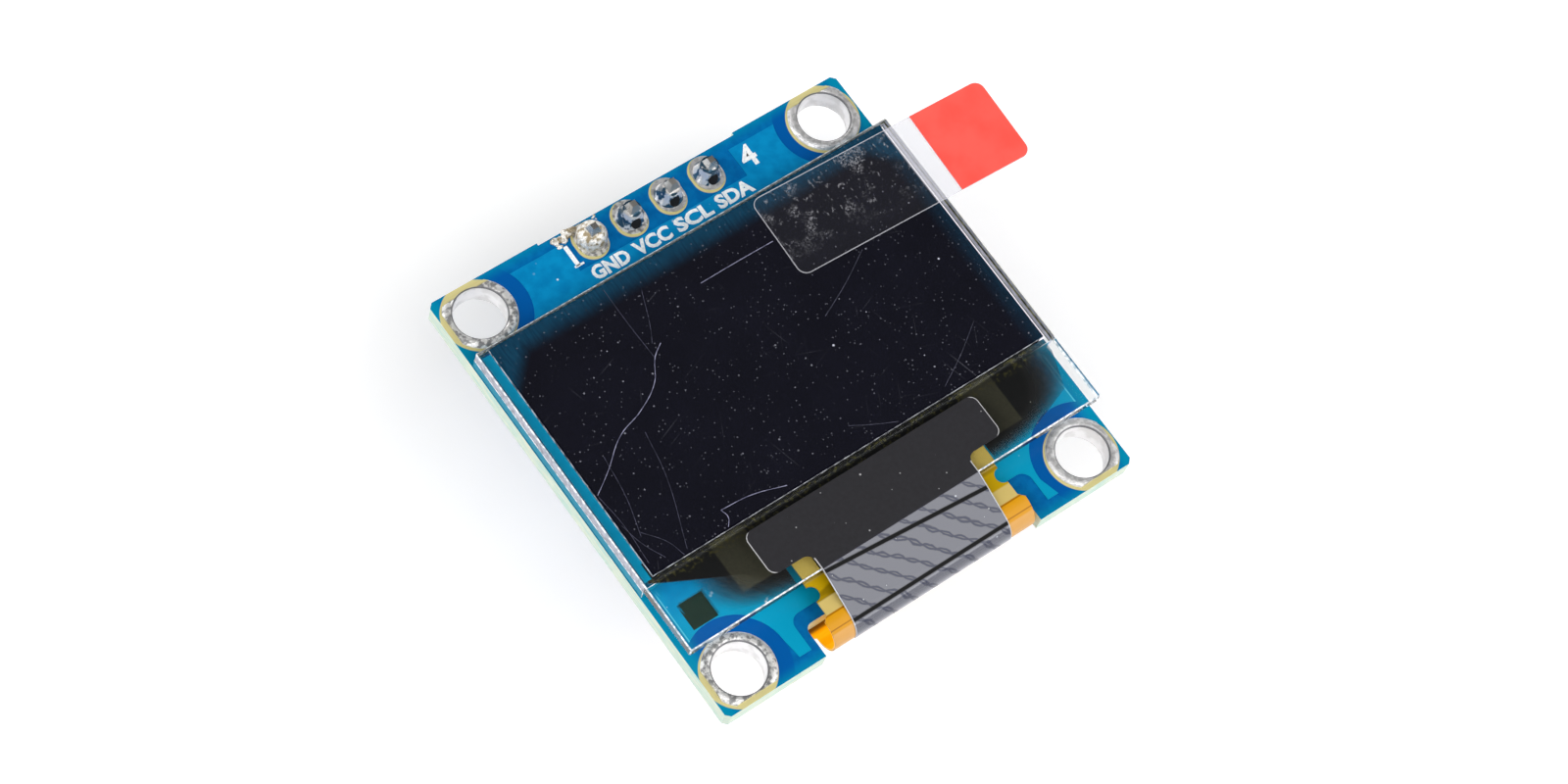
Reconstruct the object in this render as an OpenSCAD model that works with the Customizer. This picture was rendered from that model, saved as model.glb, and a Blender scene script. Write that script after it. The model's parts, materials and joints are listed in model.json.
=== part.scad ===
// Graphic display module: a glass display panel on a circuit board, with its flex tail folded
// through a notch to the rear and a four-pin header.
// Millimetres. The display faces +Z, the header is towards +Y, and the origin is the centre of
// the four mounting holes on the board's front face.

/* [Board] */
// Width of the board
board_w = 26.6; // [26.2:0.1:30]
// Height of the board, from the header edge to the notch edge
board_h = 27; // [26.8:0.1:29]
// Thickness of the board
board_t = 1.2; // [0.8:0.1:1.6]
// Blunt cut across each corner
corner_cut = 0.25; // [0.1:0.05:0.5]
// Width of the notch that the flex tail folds through
notch_w = 14.1; // [13.6:0.1:15]
// Depth of that notch
notch_d = 1.9; // [1.6:0.1:2.2]
// Radius of the notch's inner corners
notch_r = 0.4; // [0.2:0.05:0.7]
// Width of the shallow break-off step in the header edge
step_w = 12.8; // [12:0.1:14]
// Depth of that step
step_d = 0.15; // [0.05:0.05:0.2]
// Thickness of the tinned copper on both faces
plating_t = 0.05; // [0.03:0.01:0.1]

/* [Mounting holes] */
// Distance from the holes' centres to the board's sides
hole_side = 2.05; // [1.9:0.05:2.3]
// Distance from the holes' centres to the board's upper and lower edges
hole_end = 1.85; // [1.75:0.05:2.1]
// Finished diameter of each hole
hole_d = 2.9; // [2:0.1:3]
// Diameter of the tinned ring around each hole
ring_d = 4; // [3.6:0.1:4.2]
// How far the ring keeps back from the board's edge
ring_setback = 0.3; // [0.1:0.05:0.4]

/* [Header] */
// Distance from pin to pin
pin_pitch = 2.54; // [2.2:0.01:2.8]
// Side of the square pins
pin_w = 0.64; // [0.5:0.02:0.66]
// Distance from the pin row to the board's header edge
header_edge = 1.3; // [1.25:0.05:1.6]
// Free length of the pins behind the housing
pin_reach = 6; // [3:0.1:12]
// Length of the pins in front of the board
pin_tail = 1.6; // [1.2:0.1:2.5]
// Length of the taper at each pin end
pin_taper = 0.45; // [0.2:0.05:0.6]
// Width of the flat at each pin end
pin_flat = 0.34; // [0.2:0.02:0.46]
// Height of the header housing
housing_h = 2.54; // [1.5:0.01:4]
// Depth of the header housing
housing_d = 2.5; // [2:0.1:2.54]
// Cut across the corners of each housing cell
housing_cut = 0.45; // [0.2:0.05:0.7]
// Height of the feet that hold the housing off the board
housing_foot = 0.15; // [0.1:0.05:0.4]
// Length of each foot along the row
foot_l = 0.3; // [0.15:0.05:0.35]
// Diameter of the plated header holes
header_hole_d = 1; // [0.96:0.02:1.1]
// Width of the header lands
header_land_w = 1.7; // [1.5:0.05:1.8]
// Length of the header lands
header_land_l = 2.1; // [1.9:0.05:2.3]
// Height of the solder joints above the board's front face
joint_h = 0.95; // [0.6:0.05:1.1]
// Height of the overfilled solder joint of the first pin
blob_h = 1.2; // [0.9:0.05:1.4]
// How far the solder keeps back from the land's edge
joint_rim = 0.05; // [0:0.01:0.1]

/* [Display panel] */
// How far both glass sheets stand out past the board's sides
glass_overhang = 0.05; // [-0.5:0.05:0.5]
// Height of the front glass, with its ledge
glass_h = 19.26; // [19:0.01:19.8]
// Thickness of the front glass
glass_t = 0.7; // [0.5:0.05:1.1]
// Distance from the board's header edge to the glass
panel_drop = 4.2; // [4:0.05:4.5]
// Height of the ledge that the rear glass leaves free
ledge_h = 4.06; // [3.95:0.01:4.4]
// Thickness of the rear glass
rear_glass_t = 0.7; // [0.5:0.05:1.1]
// Thickness of the adhesive pad under the rear glass
pad_t = 0.3; // [0.1:0.05:0.8]
// How far the pad keeps back from the rear glass's edge
pad_inset = 2.2; // [1:0.1:4]
// Thickness of the seal between the sheets
seal_t = 0.05; // [0.02:0.01:0.1]
// Width of the seal
seal_w = 0.7; // [0.4:0.05:0.9]
// How far the seal keeps back from the rear glass's edge
seal_inset = 0.3; // [0.1:0.05:0.5]
// Depth of the pocket etched into the rear glass
pocket_d = 0.3; // [0.2:0.05:0.4]
// Rim left between the pocket and the seal
pocket_rim = 0.4; // [0.2:0.05:0.8]
// Thickness of the desiccant sheet in the pocket
desiccant_t = 0.2; // [0.1:0.05:0.2]
// Clear space around the desiccant sheet
desiccant_gap = 0.8; // [0.3:0.1:2]
// Thickness of the emitter layers
emitter_t = 0.02; // [0.01:0.005:0.02]
// Clear space between the emitter layers and the seal at the sides
emitter_side = 0.7; // [0.3:0.05:1.2]
// Clear space between the emitter layers and the seal at the top and bottom
emitter_end = 0.1; // [0.05:0.05:0.5]
// Cut across the upper corners of the emitter layers
emitter_cut = 1.5; // [0.5:0.1:3]
// Thickness of the metal tracks on the ledge
routing_t = 0.02; // [0.01:0.005:0.03]
// Distance from the glass's sides to the track area, at the rear glass
routing_side = 0.45; // [0.1:0.05:1.2]
// Height over which the track area keeps nearly full width
routing_brow = 0.5; // [0.2:0.1:1]
// Distance from the glass's sides to the track area's knee
knee_side = 1.2; // [0.6:0.1:2]
// Height of the knee above the glass's lower edge
knee_rise = 1.45; // [1:0.05:2.2]
// How far the track area stands out past the flex's sides, above the flex
routing_flare = 2.5; // [1:0.1:3]
// Height of that part above the glass's lower edge
routing_foot = 0.3; // [0.2:0.05:0.8]
// Length of the driver chip
driver_l = 9; // [7:0.1:11]
// Width of the driver chip
driver_w = 1.1; // [0.9:0.05:1.2]
// Thickness of the driver chip
driver_t = 0.3; // [0.2:0.05:0.4]
// Distance from the glass's lower edge to the driver chip's centre
driver_rise = 2.75; // [2.7:0.05:2.95]

/* [Polariser, film and pull tab] */
// How far the polariser keeps back from the glass's sides
polariser_side = 0.65; // [0.2:0.05:1.2]
// How far it keeps back from the rear glass's upper and lower edges
polariser_end = 0.25; // [0.1:0.05:0.4]
// Thickness of the polariser
polariser_t = 0.2; // [0.1:0.02:0.3]
// Thickness of the protective film
film_t = 0.05; // [0.03:0.01:0.1]
// How far the film keeps back from the polariser's edge
film_inset = 0.08; // [0.02:0.02:0.2]
// Length of the pull tape
tab_l = 15.1; // [12:0.1:20]
// Width of the pull tape
tab_w = 5.05; // [4:0.05:6]
// Thickness of the pull tape
tab_t = 0.06; // [0.04:0.01:0.12]
// Length of the tape that is stuck to the film
tab_hold = 8.8; // [5:0.1:9.5]
// Distance from the film's top edge to the tape's centre line at its inner end
tab_drop = 2.57; // [2.4:0.01:5]
// Turn of the tape, which is stuck on by hand
tab_turn = -1.9; // [-4:0.1:4]
// Corner radius of the tape
tab_r = 0.55; // [0.2:0.05:1]
// Length of the coloured grip at the free end
grip_l = 4.65; // [3:0.05:6]
// Thickness of the grip
grip_t = 0.05; // [0.03:0.01:0.1]

/* [Light shield] */
// Width of the shield over the driver chip
shield_w = 15; // [13:0.1:17]
// Height of that wide part
shield_h = 2.65; // [2:0.05:2.8]
// Width of the strip that runs over the fold
shield_neck_w = 10.2; // [9:0.1:11]
// Distance from the glass's lower edge to the wide part
shield_rise = 1.05; // [0.9:0.05:1.2]
// Corner radius of the shield
shield_r = 0.5; // [0.2:0.05:0.7]
// Thickness of the shield tape
shield_t = 0.05; // [0.03:0.01:0.1]
// How far the strip runs past the outermost line of the fold, in degrees
shield_wrap = 8; // [0:1:20]

/* [Flex tail] */
// Thickness of the flex
flex_t = 0.12; // [0.08:0.01:0.2]
// Sideways shift of the flex from the board's centre line
flex_x = 0.15; // [0:0.05:0.2]
// Length of the flex that is bonded under the glass
bond_l = 1.45; // [1:0.05:1.5]
// Width of the flex at the glass
neck_w = 12.5; // [12:0.1:13]
// Radius of the scallops beside the neck
scallop_r = 0.45; // [0.2:0.05:0.5]
// Distance from the glass's lower edge to the scallops' centres
scallop_drop = 0.65; // [0.6:0.05:0.75]
// Width of the flex at the fold
fold_w = 13.1; // [12.6:0.1:13.3]
// How far the fold stays inside the board's lower edge
fold_inset = 0.1; // [0:0.05:0.2]
// Length of the tail on the board's rear
tail_l = 6.45; // [6.2:0.05:6.8]
// Width of the tail
tail_w = 22.5; // [21.5:0.1:23]
// Length of the tail's straight sides
tail_straight = 3.25; // [2.8:0.05:3.5]
// Diameter of the two tooling holes
tool_d = 0.74; // [0.5:0.02:0.9]
// Distance from each tooling hole to the tail's centre line
tool_x = 8.05; // [7.7:0.05:8.4]
// Distance from the tooling holes to the tail's end
tool_y = 4.7; // [4.5:0.05:4.9]
// Distance from lead to lead
lead_pitch = 0.7; // [0.66:0.01:0.72]
// Width of each lead
lead_w = 0.38; // [0.3:0.01:0.44]
// Length of the lands that show beyond the tail's end
lead_land = 1.45; // [1:0.05:1.6]
// Length of the bare leads on the tail
lead_bare = 2; // [1.5:0.05:2.2]
// Thickness of the solder on the leads
lead_solder_t = 0.05; // [0.03:0.01:0.1]
// Thickness of the copper traces
trace_t = 0.03; // [0.02:0.005:0.05]
// Width of the traces where they fan in
trace_w = 0.22; // [0.15:0.01:0.26]
// Distance from trace to trace at the fold
trace_pitch = 0.2; // [0.18:0.01:0.22]
// Width of the traces at the fold
trace_neck_w = 0.1; // [0.06:0.01:0.12]
// Length of the trace pads below the bare leads
trace_pad = 0.75; // [0.6:0.05:0.8]
// Fall of the fanned traces for each unit sideways
trace_fall = 0.5; // [0.46:0.01:0.52]
// How far the traces follow the fold, in degrees
trace_wrap = 60; // [30:5:75]

/* [Chips] */
// Length of the chip resistors and capacitors
chip_l = 1.6; // [1.4:0.05:1.7]
// Width of the chips
chip_w = 0.8; // [0.6:0.05:1]
// Height of the resistors
resistor_h = 0.45; // [0.3:0.05:0.6]
// Height of the capacitors
capacitor_h = 0.8; // [0.5:0.05:1]
// Length of the chips' end terminals
terminal_l = 0.3; // [0.2:0.05:0.4]
// How far the ceramic stays inside the terminals
terminal_step = 0.02; // [0.01:0.01:0.05]
// Length of each land beyond the chip
land_toe = 0.6; // [0.4:0.05:0.65]
// Width of the chip lands
land_w = 0.95; // [0.8:0.05:1.1]
// How far below a chip's top the solder at its ends stops
fillet_drop = 0.2; // [0.1:0.05:0.25]

/* [Regulator and diode] */
// Width of the regulator's body, between its leads
regulator_w = 1.3; // [1.2:0.05:1.4]
// Length of the regulator's body
regulator_l = 2.9; // [2.7:0.05:3]
// Height of the regulator's body
regulator_h = 0.95; // [0.8:0.05:1.1]
// Distance from the regulator's middle to each of its paired leads
regulator_pitch = 0.95; // [0.85:0.05:1]
// Reach of the regulator's leads from its middle
regulator_reach = 1.5; // [1.4:0.05:1.6]
// Width of the diode's body, between its leads
diode_w = 1.7; // [1.5:0.05:1.75]
// Length of the diode's body, across its leads
diode_l = 1.25; // [1:0.05:1.4]
// Height of the diode's body
diode_h = 0.85; // [0.7:0.05:1]
// Reach of the diode's leads from its middle
diode_reach = 1.35; // [1.3:0.05:1.45]
// Width of the bent leads
bent_lead_w = 0.42; // [0.3:0.02:0.5]
// Thickness of the bent leads
bent_lead_t = 0.12; // [0.08:0.01:0.15]
// Length of the bent leads' feet
bent_foot_l = 0.32; // [0.25:0.01:0.34]
// Length of each land beyond the foot that stands on it
bent_toe = 0.5; // [0.3:0.05:0.6]
// Width of the lands under the bent leads
bent_land_w = 0.9; // [0.6:0.05:1]
// Clear height under both bodies
body_lift = 0.08; // [0.04:0.01:0.12]
// Draft of the moulded bodies, at top and bottom
body_draft = 0.1; // [0.05:0.01:0.15]
// Height of the solder bumps on the two open link lands
bump_h = 0.2; // [0.1:0.05:0.3]

/* [Hidden] */
$fn = 48;
// How far cutting bodies run past a face
past = 1;
// Overlap of the shield's curved and straight runs, in degrees
meet_lap = 1;
pin_count = 4;
lead_count = 30;

// Heights of the layers, from the board's front face
z_rear_glass = pad_t;
z_seal = z_rear_glass + rear_glass_t;
z_glass = z_seal + seal_t;
z_face = z_glass + glass_t;
z_film = z_face + polariser_t;
z_tab = z_film + film_t;
z_grip = z_tab + tab_t;
z_bond = z_glass - routing_t;
z_tail = -board_t - plating_t;

// Levels up the display side, and the panel's width
header_y = board_h / 2 - header_edge;
glass_w = board_w + 2 * glass_overhang;
glass_top = board_h / 2 - panel_drop;
glass_bottom = glass_top - glass_h;
rear_glass_bottom = glass_bottom + ledge_h;
film_side = glass_w / 2 - polariser_side - film_inset;
film_top = glass_top - polariser_end - film_inset;
bond_end = glass_bottom + bond_l;

// The fold runs from under the glass to the lands on the board's rear
fold_r = (z_bond - z_tail + flex_t) / 2;
fold_y = -board_h / 2 + fold_inset + fold_r;
fold_z = z_bond - fold_r;
tail_end = fold_y + tail_l;
lead_end = tail_end - lead_bare;

// The shield leaves the glass edge and meets the fold where it is tangent to it
shield_run = [glass_bottom - fold_y, z_face - fold_z];
shield_meet = atan2(shield_run[1], shield_run[0]) + acos(fold_r / norm(shield_run));

// Sizes that follow from a fit
header_half = pin_count * pin_pitch / 2;
seal_inner = seal_inset + seal_w;
joint_r = header_land_w / 2 - joint_rim;
land_l = terminal_l + land_toe;
land_x = chip_l / 2 + land_toe - land_l / 2;

// Places on the rear face, seen from behind: x, y and turn
resistor_places = [
    [-8.2, 6.6, 0],
    [-8.2, 4.25, 0],
    [2.4, 6.65, 0],
    [0.5, 8.85, 0],
    [-6.35, 0, 90],
    [-3.35, 0, 90],
    [-1.0, 0, 90],
    [9.2, 3.05, 0],
];
capacitor_places = [
    [-11.45, 0, 90],
    [-8.85, 0, 90],
    [1.15, 0, 90],
    [3.3, 0, 90],
    [5.7, 0, 90],
    [8.1, 0, 90],
    [10.45, 0, 90],
];
regulator_place = [1.5, 3.85, 0];
diode_place = [9.15, 5.35, 0];
link_places = [[3.3, 8.85, 0], [-0.3, 6.65, 0]];

// Place along the header row of pin i, counted from 1
function pin_x(i) = (i - (pin_count + 1) / 2) * pin_pitch;

// Place of lead i on the rear, counted from 0 and seen from behind
function lead_x(i) = -flex_x + (i - (lead_count - 1) / 2) * lead_pitch;

// Place of trace i where it enters the fold, seen from behind
function trace_x(i) = -flex_x + (i - (lead_count - 1) / 2) * trace_pitch;

// Corner of the hole pattern, counted anticlockwise from the upper right
function hole_at(i) = [
    (i == 1 || i == 4 ? 1 : -1) * (board_w / 2 - hole_side),
    (i <= 2 ? 1 : -1) * (board_h / 2 - hole_end),
];

// Puts its children on the rear face, seen from behind, with z pointing away from the board
module on_rear(place = [0, 0, 0], lift = 0) {
    translate([0, 0, -board_t])
        rotate([0, 180, 0])
            translate([place[0], place[1], lift])
                rotate(place[2])
                    children();
}

// Extrudes a profile drawn in y and z along x, centred on x0
module along_x(width, x0 = 0) {
    translate([x0 - width / 2, 0, 0])
        rotate([90, 0, 90])
            linear_extrude(width)
                children();
}

// Rectangle with rounded corners, from its lower left corner
module rounded_rect(size, r) {
    translate([r, 0])
        square([size[0] - 2 * r, size[1]]);
    translate([0, r])
        square([size[0], size[1] - 2 * r]);
    for (x = [r, size[0] - r], y = [r, size[1] - r])
        translate([x, y])
            circle(r);
}

// Rectangle centred on x, from y0 up to y1
module band(width, y0, y1) {
    translate([-width / 2, y0])
        square([width, y1 - y0]);
}

// Part of a ring between two angles
module arc_band(r, t, from, to) {
    reach = 2 * (r + t);
    intersection() {
        difference() {
            circle(r + t);
            circle(r);
        }
        polygon(concat(
            [[0, 0]],
            [for (k = [0:4]) let (a = from + k * (to - from) / 4) reach * [cos(a), sin(a)]]
        ));
    }
}

// Straight strip of the given width between two points
module strip(from, to, width) {
    run = to - from;
    translate(from)
        rotate(atan2(run[1], run[0]))
            translate([0, -width / 2])
                square([norm(run), width]);
}

// Outline of the board without its holes
module board_outline() {
    w = board_w / 2;
    h = board_h / 2;
    c = corner_cut;
    difference() {
        polygon([
            [-w + c, -h], [w - c, -h], [w, -h + c], [w, h - c],
            [w - c, h], [-w + c, h], [-w, h - c], [-w, -h + c],
        ]);
        translate([-notch_w / 2, -h - past])
            rounded_rect([notch_w, notch_d + past], notch_r);
        band(step_w, h - step_d, h + past);
    }
}

module board() {
    color("#1477a8")
        translate([0, 0, -board_t])
            linear_extrude(board_t)
                difference() {
                    board_outline();
                    for (i = [1:4])
                        translate(hole_at(i))
                            circle(d = hole_d + 2 * plating_t);
                    for (i = [1:pin_count])
                        translate([pin_x(i), header_y])
                            circle(d = header_hole_d + 2 * plating_t);
                }
}

// Plated hole: a barrel through the board with a ring on each face, cut back from the edge
module mounting_eyelet(i) {
    keep = [board_w - 2 * ring_setback, board_h - 2 * ring_setback];
    color("silver")
        difference() {
            union() {
                translate(concat(hole_at(i), -board_t))
                    cylinder(d = hole_d + 2 * plating_t, h = board_t);
                for (z = [0, -board_t - plating_t])
                    translate([0, 0, z])
                        linear_extrude(plating_t)
                            intersection() {
                                translate(hole_at(i))
                                    circle(d = ring_d);
                                square(keep, center = true);
                            }
            }
            translate(concat(hole_at(i), -board_t - past))
                cylinder(d = hole_d, h = board_t + 2 * past);
        }
}

// Long land with round ends around one header hole
module header_land() {
    straight = header_land_l - header_land_w;
    square([header_land_w, straight], center = true);
    for (y = [-straight / 2, straight / 2])
        translate([0, y])
            circle(d = header_land_w);
}

module header_eyelets() {
    color("silver")
        for (i = [1:pin_count])
            translate([pin_x(i), header_y, 0])
                difference() {
                    union() {
                        translate([0, 0, -board_t])
                            cylinder(d = header_hole_d + 2 * plating_t, h = board_t);
                        for (z = [0, -board_t - plating_t])
                            translate([0, 0, z])
                                linear_extrude(plating_t)
                                    intersection() {
                                        header_land();
                                        band(header_land_w, -header_land_l, header_edge - step_d);
                                    }
                    }
                    translate([0, 0, -board_t - past])
                        cylinder(d = header_hole_d, h = board_t + 2 * past);
                }
}

// Lands of the chips, the flex leads, the regulator, the diode and the open links
module rear_lands() {
    color("silver") {
        for (place = concat(resistor_places, capacitor_places))
            on_rear(place)
                for (x = [-land_x, land_x])
                    translate([x - land_l / 2, -land_w / 2, 0])
                        cube([land_l, land_w, plating_t]);
        for (place = link_places)
            on_rear(place)
                translate([-land_l / 2, -land_w / 2, 0])
                    cube([land_l, land_w, plating_t]);
        on_rear()
            for (i = [0:lead_count - 1])
                translate([lead_x(i) - lead_w / 2, lead_end, 0])
                    cube([lead_w, lead_bare + lead_land, plating_t]);
        on_rear(regulator_place)
            for (seat = regulator_seats())
                bent_land(seat, regulator_reach);
        on_rear(diode_place)
            for (seat = diode_seats())
                bent_land(seat, diode_reach);
    }
}

// Outline of the housing: one cell with cut corners for each pin
module housing_outline() {
    w = pin_pitch / 2;
    h = housing_d / 2;
    c = housing_cut;
    for (i = [1:pin_count])
        translate([pin_x(i), 0])
            polygon([
                [-w, h - c], [-w, c - h], [c - w, -h], [w - c, -h],
                [w, c - h], [w, h - c], [w - c, h], [c - w, h],
            ]);
}

module header_housing() {
    foot_x = header_half - foot_l;
    foot_y = housing_d - 2 * housing_cut;
    color("#232328")
        translate([0, header_y, -board_t - housing_foot])
            difference() {
                union() {
                    translate([0, 0, -housing_h])
                        linear_extrude(housing_h)
                            housing_outline();
                    for (x = [-header_half, foot_x])
                        translate([x, -foot_y / 2, 0])
                            cube([foot_l, foot_y, housing_foot]);
                }
                for (i = [1:pin_count])
                    translate([pin_x(i) - pin_w / 2, -pin_w / 2, -housing_h - past])
                        cube([pin_w, pin_w, housing_h + 2 * past]);
            }
}

// Side view of a pin, tapered at both ends
module pin_profile() {
    top = pin_tail;
    bottom = -board_t - housing_foot - housing_h - pin_reach;
    w = pin_w / 2;
    f = pin_flat / 2;
    polygon([
        [-f, bottom], [f, bottom], [w, bottom + pin_taper], [w, top - pin_taper],
        [f, top], [-f, top], [-w, top - pin_taper], [-w, bottom + pin_taper],
    ]);
}

module header_pin(i) {
    color("#c8c8c4")
        translate([pin_x(i), header_y, 0])
            intersection() {
                along_x(pin_w)
                    pin_profile();
                rotate(90)
                    along_x(pin_w)
                        pin_profile();
            }
}

// Half section of a solder joint: a concave cone, or a ball where the joint is overfilled
module joint_section(i) {
    top_r = header_hole_d / 2;
    spread = joint_r - top_r;
    hollow_r = (spread * spread + joint_h * joint_h) / (2 * spread);
    ball_r = (joint_r * joint_r + blob_h * blob_h) / (2 * blob_h);
    if (i == 1)
        intersection() {
            square([joint_r + past, blob_h]);
            translate([0, blob_h - ball_r])
                circle(ball_r);
        }
    else
        difference() {
            square([joint_r, joint_h]);
            translate([top_r + hollow_r, joint_h])
                circle(hollow_r);
        }
}

// Solder that fills the plated hole and rises around the pin
module header_joint(i) {
    color("#d8d6cf")
        translate([pin_x(i), header_y, 0])
            difference() {
                union() {
                    translate([0, 0, plating_t])
                        rotate_extrude()
                            joint_section(i);
                    translate([0, 0, -board_t - plating_t])
                        cylinder(d = header_hole_d, h = board_t + 2 * plating_t);
                }
                along_x(pin_w)
                    translate([-pin_w / 2, -board_t - past])
                        square([pin_w, board_t + pin_tail + 2 * past]);
            }
}

module panel_pad() {
    color("#e6e2d4")
        linear_extrude(pad_t)
            band(glass_w - 2 * pad_inset, rear_glass_bottom + pad_inset, glass_top - pad_inset);
}

// Rectangle inside the rear glass's outline
module inside_rear_glass(inset) {
    band(glass_w - 2 * inset, rear_glass_bottom + inset, glass_top - inset);
}

module rear_glass() {
    color("#b9cdd2")
        difference() {
            translate([0, 0, z_rear_glass])
                linear_extrude(rear_glass_t)
                    inside_rear_glass(0);
            translate([0, 0, z_seal - pocket_d])
                linear_extrude(pocket_d + past)
                    inside_rear_glass(seal_inner + pocket_rim);
        }
}

module desiccant_sheet() {
    color("#dcdcd6")
        translate([0, 0, z_seal - pocket_d])
            linear_extrude(desiccant_t)
                inside_rear_glass(seal_inner + pocket_rim + desiccant_gap);
}

module seal_bead() {
    color("#6f7f7c")
        translate([0, 0, z_seal])
            linear_extrude(seal_t)
                difference() {
                    inside_rear_glass(seal_inset);
                    inside_rear_glass(seal_inner);
                }
}

module emitter_layers() {
    x = glass_w / 2 - seal_inner - emitter_side;
    top = glass_top - seal_inner - emitter_end;
    bottom = rear_glass_bottom + seal_inner + emitter_end;
    c = emitter_cut;
    color("#15151c")
        translate([0, 0, z_glass - emitter_t])
            linear_extrude(emitter_t)
                polygon([
                    [-x, bottom], [x, bottom], [x, top - c],
                    [x - c, top], [c - x, top], [-x, top - c],
                ]);
}

module front_glass() {
    color("#c6d6dc")
        translate([0, 0, z_glass])
            linear_extrude(glass_t)
                band(glass_w, glass_bottom, glass_top);
}

// Metal tracks that run from the picture area to the driver chip and the flex
module routing_film() {
    w = glass_w / 2 - routing_side;
    k = glass_w / 2 - knee_side;
    n = neck_w / 2;
    f = n + routing_flare;
    brow = rear_glass_bottom - routing_brow;
    knee = glass_bottom + knee_rise;
    foot = glass_bottom + routing_foot;
    color("#2b2b22")
        translate([0, 0, z_bond])
            linear_extrude(routing_t)
                polygon([
                    [-w, rear_glass_bottom], [w, rear_glass_bottom], [w, brow], [k, knee], [f, foot],
                    [n, glass_bottom], [-n, glass_bottom], [-f, foot], [-k, knee], [-w, brow],
                ]);
}

module driver_chip() {
    color("#3a3a40")
        translate([-driver_l / 2, glass_bottom + driver_rise - driver_w / 2, z_bond - driver_t])
            cube([driver_l, driver_w, driver_t]);
}

// Rectangle inside the polariser's outline
module inside_polariser(inset) {
    end = polariser_end + inset;
    band(glass_w - 2 * (polariser_side + inset), rear_glass_bottom + end, glass_top - end);
}

module polariser() {
    color("#1a1a22")
        translate([0, 0, z_face])
            linear_extrude(polariser_t)
                inside_polariser(0);
}

module protective_film() {
    color("#2a2c34")
        translate([0, 0, z_film])
            linear_extrude(film_t)
                inside_polariser(film_inset);
}

// Puts its children on the pull tape's centre line, from its inner end
module on_tab(z) {
    translate([film_side - tab_hold, film_top - tab_drop, z])
        rotate(tab_turn)
            children();
}

module pull_tape() {
    color("#e4e4ea")
        on_tab(z_tab)
            linear_extrude(tab_t)
                translate([0, -tab_w / 2])
                    rounded_rect([tab_l, tab_w], tab_r);
}

module pull_grip() {
    color("#ff5c52")
        on_tab(z_grip)
            linear_extrude(grip_t)
                intersection() {
                    translate([0, -tab_w / 2])
                        rounded_rect([tab_l, tab_w], tab_r);
                    translate([tab_l - grip_l, -tab_w])
                        square([grip_l + past, 2 * tab_w]);
                }
}

// Flex from its bonded end to the fold, with a scallop on each side
module neck_outline() {
    n = neck_w / 2;
    f = fold_w / 2;
    flare = fold_y + f - n;
    difference() {
        polygon([
            [-n, bond_end], [-n, flare], [-f, fold_y],
            [f, fold_y], [n, flare], [n, bond_end],
        ]);
        for (x = [-n, n])
            translate([x, glass_bottom - scallop_drop])
                circle(scallop_r);
    }
}

// Flex from the fold to the lands on the rear
module tail_outline() {
    t = tail_w / 2;
    f = fold_w / 2;
    shoulder = tail_end - tail_straight;
    difference() {
        polygon([
            [-f, fold_y], [-t, shoulder], [-t, tail_end],
            [t, tail_end], [t, shoulder], [f, fold_y],
        ]);
        for (x = [-tool_x, tool_x])
            translate([x, tail_end - tool_y])
                circle(d = tool_d);
    }
}

module flex_cable() {
    color("#c8860f")
        union() {
            translate([flex_x, 0, z_bond - flex_t])
                linear_extrude(flex_t)
                    neck_outline();
            along_x(fold_w, flex_x)
                translate([fold_y, fold_z])
                    arc_band(fold_r - flex_t, flex_t, 90, 270);
            translate([flex_x, 0, z_tail - flex_t])
                linear_extrude(flex_t)
                    tail_outline();
        }
}

// One trace on the tail: its pad, its run towards the centre line and its run to the fold.
// The two outermost leads carry nothing and keep only their pads.
module trace_outline(i) {
    pad_end = [lead_x(i), lead_end - trace_pad];
    shift = trace_x(i) - lead_x(i);
    neck_start = pad_end + [shift, -trace_fall * abs(shift)];
    strip([lead_x(i), lead_end], pad_end, lead_w);
    if (i > 0 && i < lead_count - 1) {
        strip(pad_end, neck_start, trace_w);
        strip(neck_start, [trace_x(i), fold_y], trace_neck_w);
    }
}

module flex_traces() {
    color("#f2a02a") {
        on_rear(lift = plating_t + flex_t)
            linear_extrude(trace_t)
                for (i = [0:lead_count - 1])
                    trace_outline(i);
        for (i = [1:lead_count - 2])
            along_x(trace_neck_w, -trace_x(i))
                translate([fold_y, fold_z])
                    arc_band(fold_r, trace_t, 270 - trace_wrap, 270);
    }
}

// Solder on each lead: it rises from the land and covers the bare lead on the tail
module flex_solder() {
    top = flex_t + lead_solder_t;
    color("#bcbcb8")
        on_rear(lift = plating_t)
            for (i = [0:lead_count - 1])
                along_x(lead_w, lead_x(i))
                    polygon([
                        [lead_end, flex_t], [tail_end, flex_t], [tail_end, 0],
                        [tail_end + lead_land, 0], [tail_end + lead_land, lead_solder_t],
                        [tail_end + lead_solder_t, top], [lead_end, top],
                    ]);
}

// Outline of the shield on the glass: a wide part and a strip with concave corners between
module shield_outline() {
    low = glass_bottom + shield_rise;
    n = shield_neck_w / 2;
    r = shield_r;
    translate([-shield_w / 2, low])
        rounded_rect([shield_w, shield_h], r);
    band(shield_neck_w, glass_bottom, low + r);
    difference() {
        band(shield_neck_w + 2 * r, low - r, low + r);
        for (x = [-n - r, n + r])
            translate([x, low - r])
                circle(r);
    }
}

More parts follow.
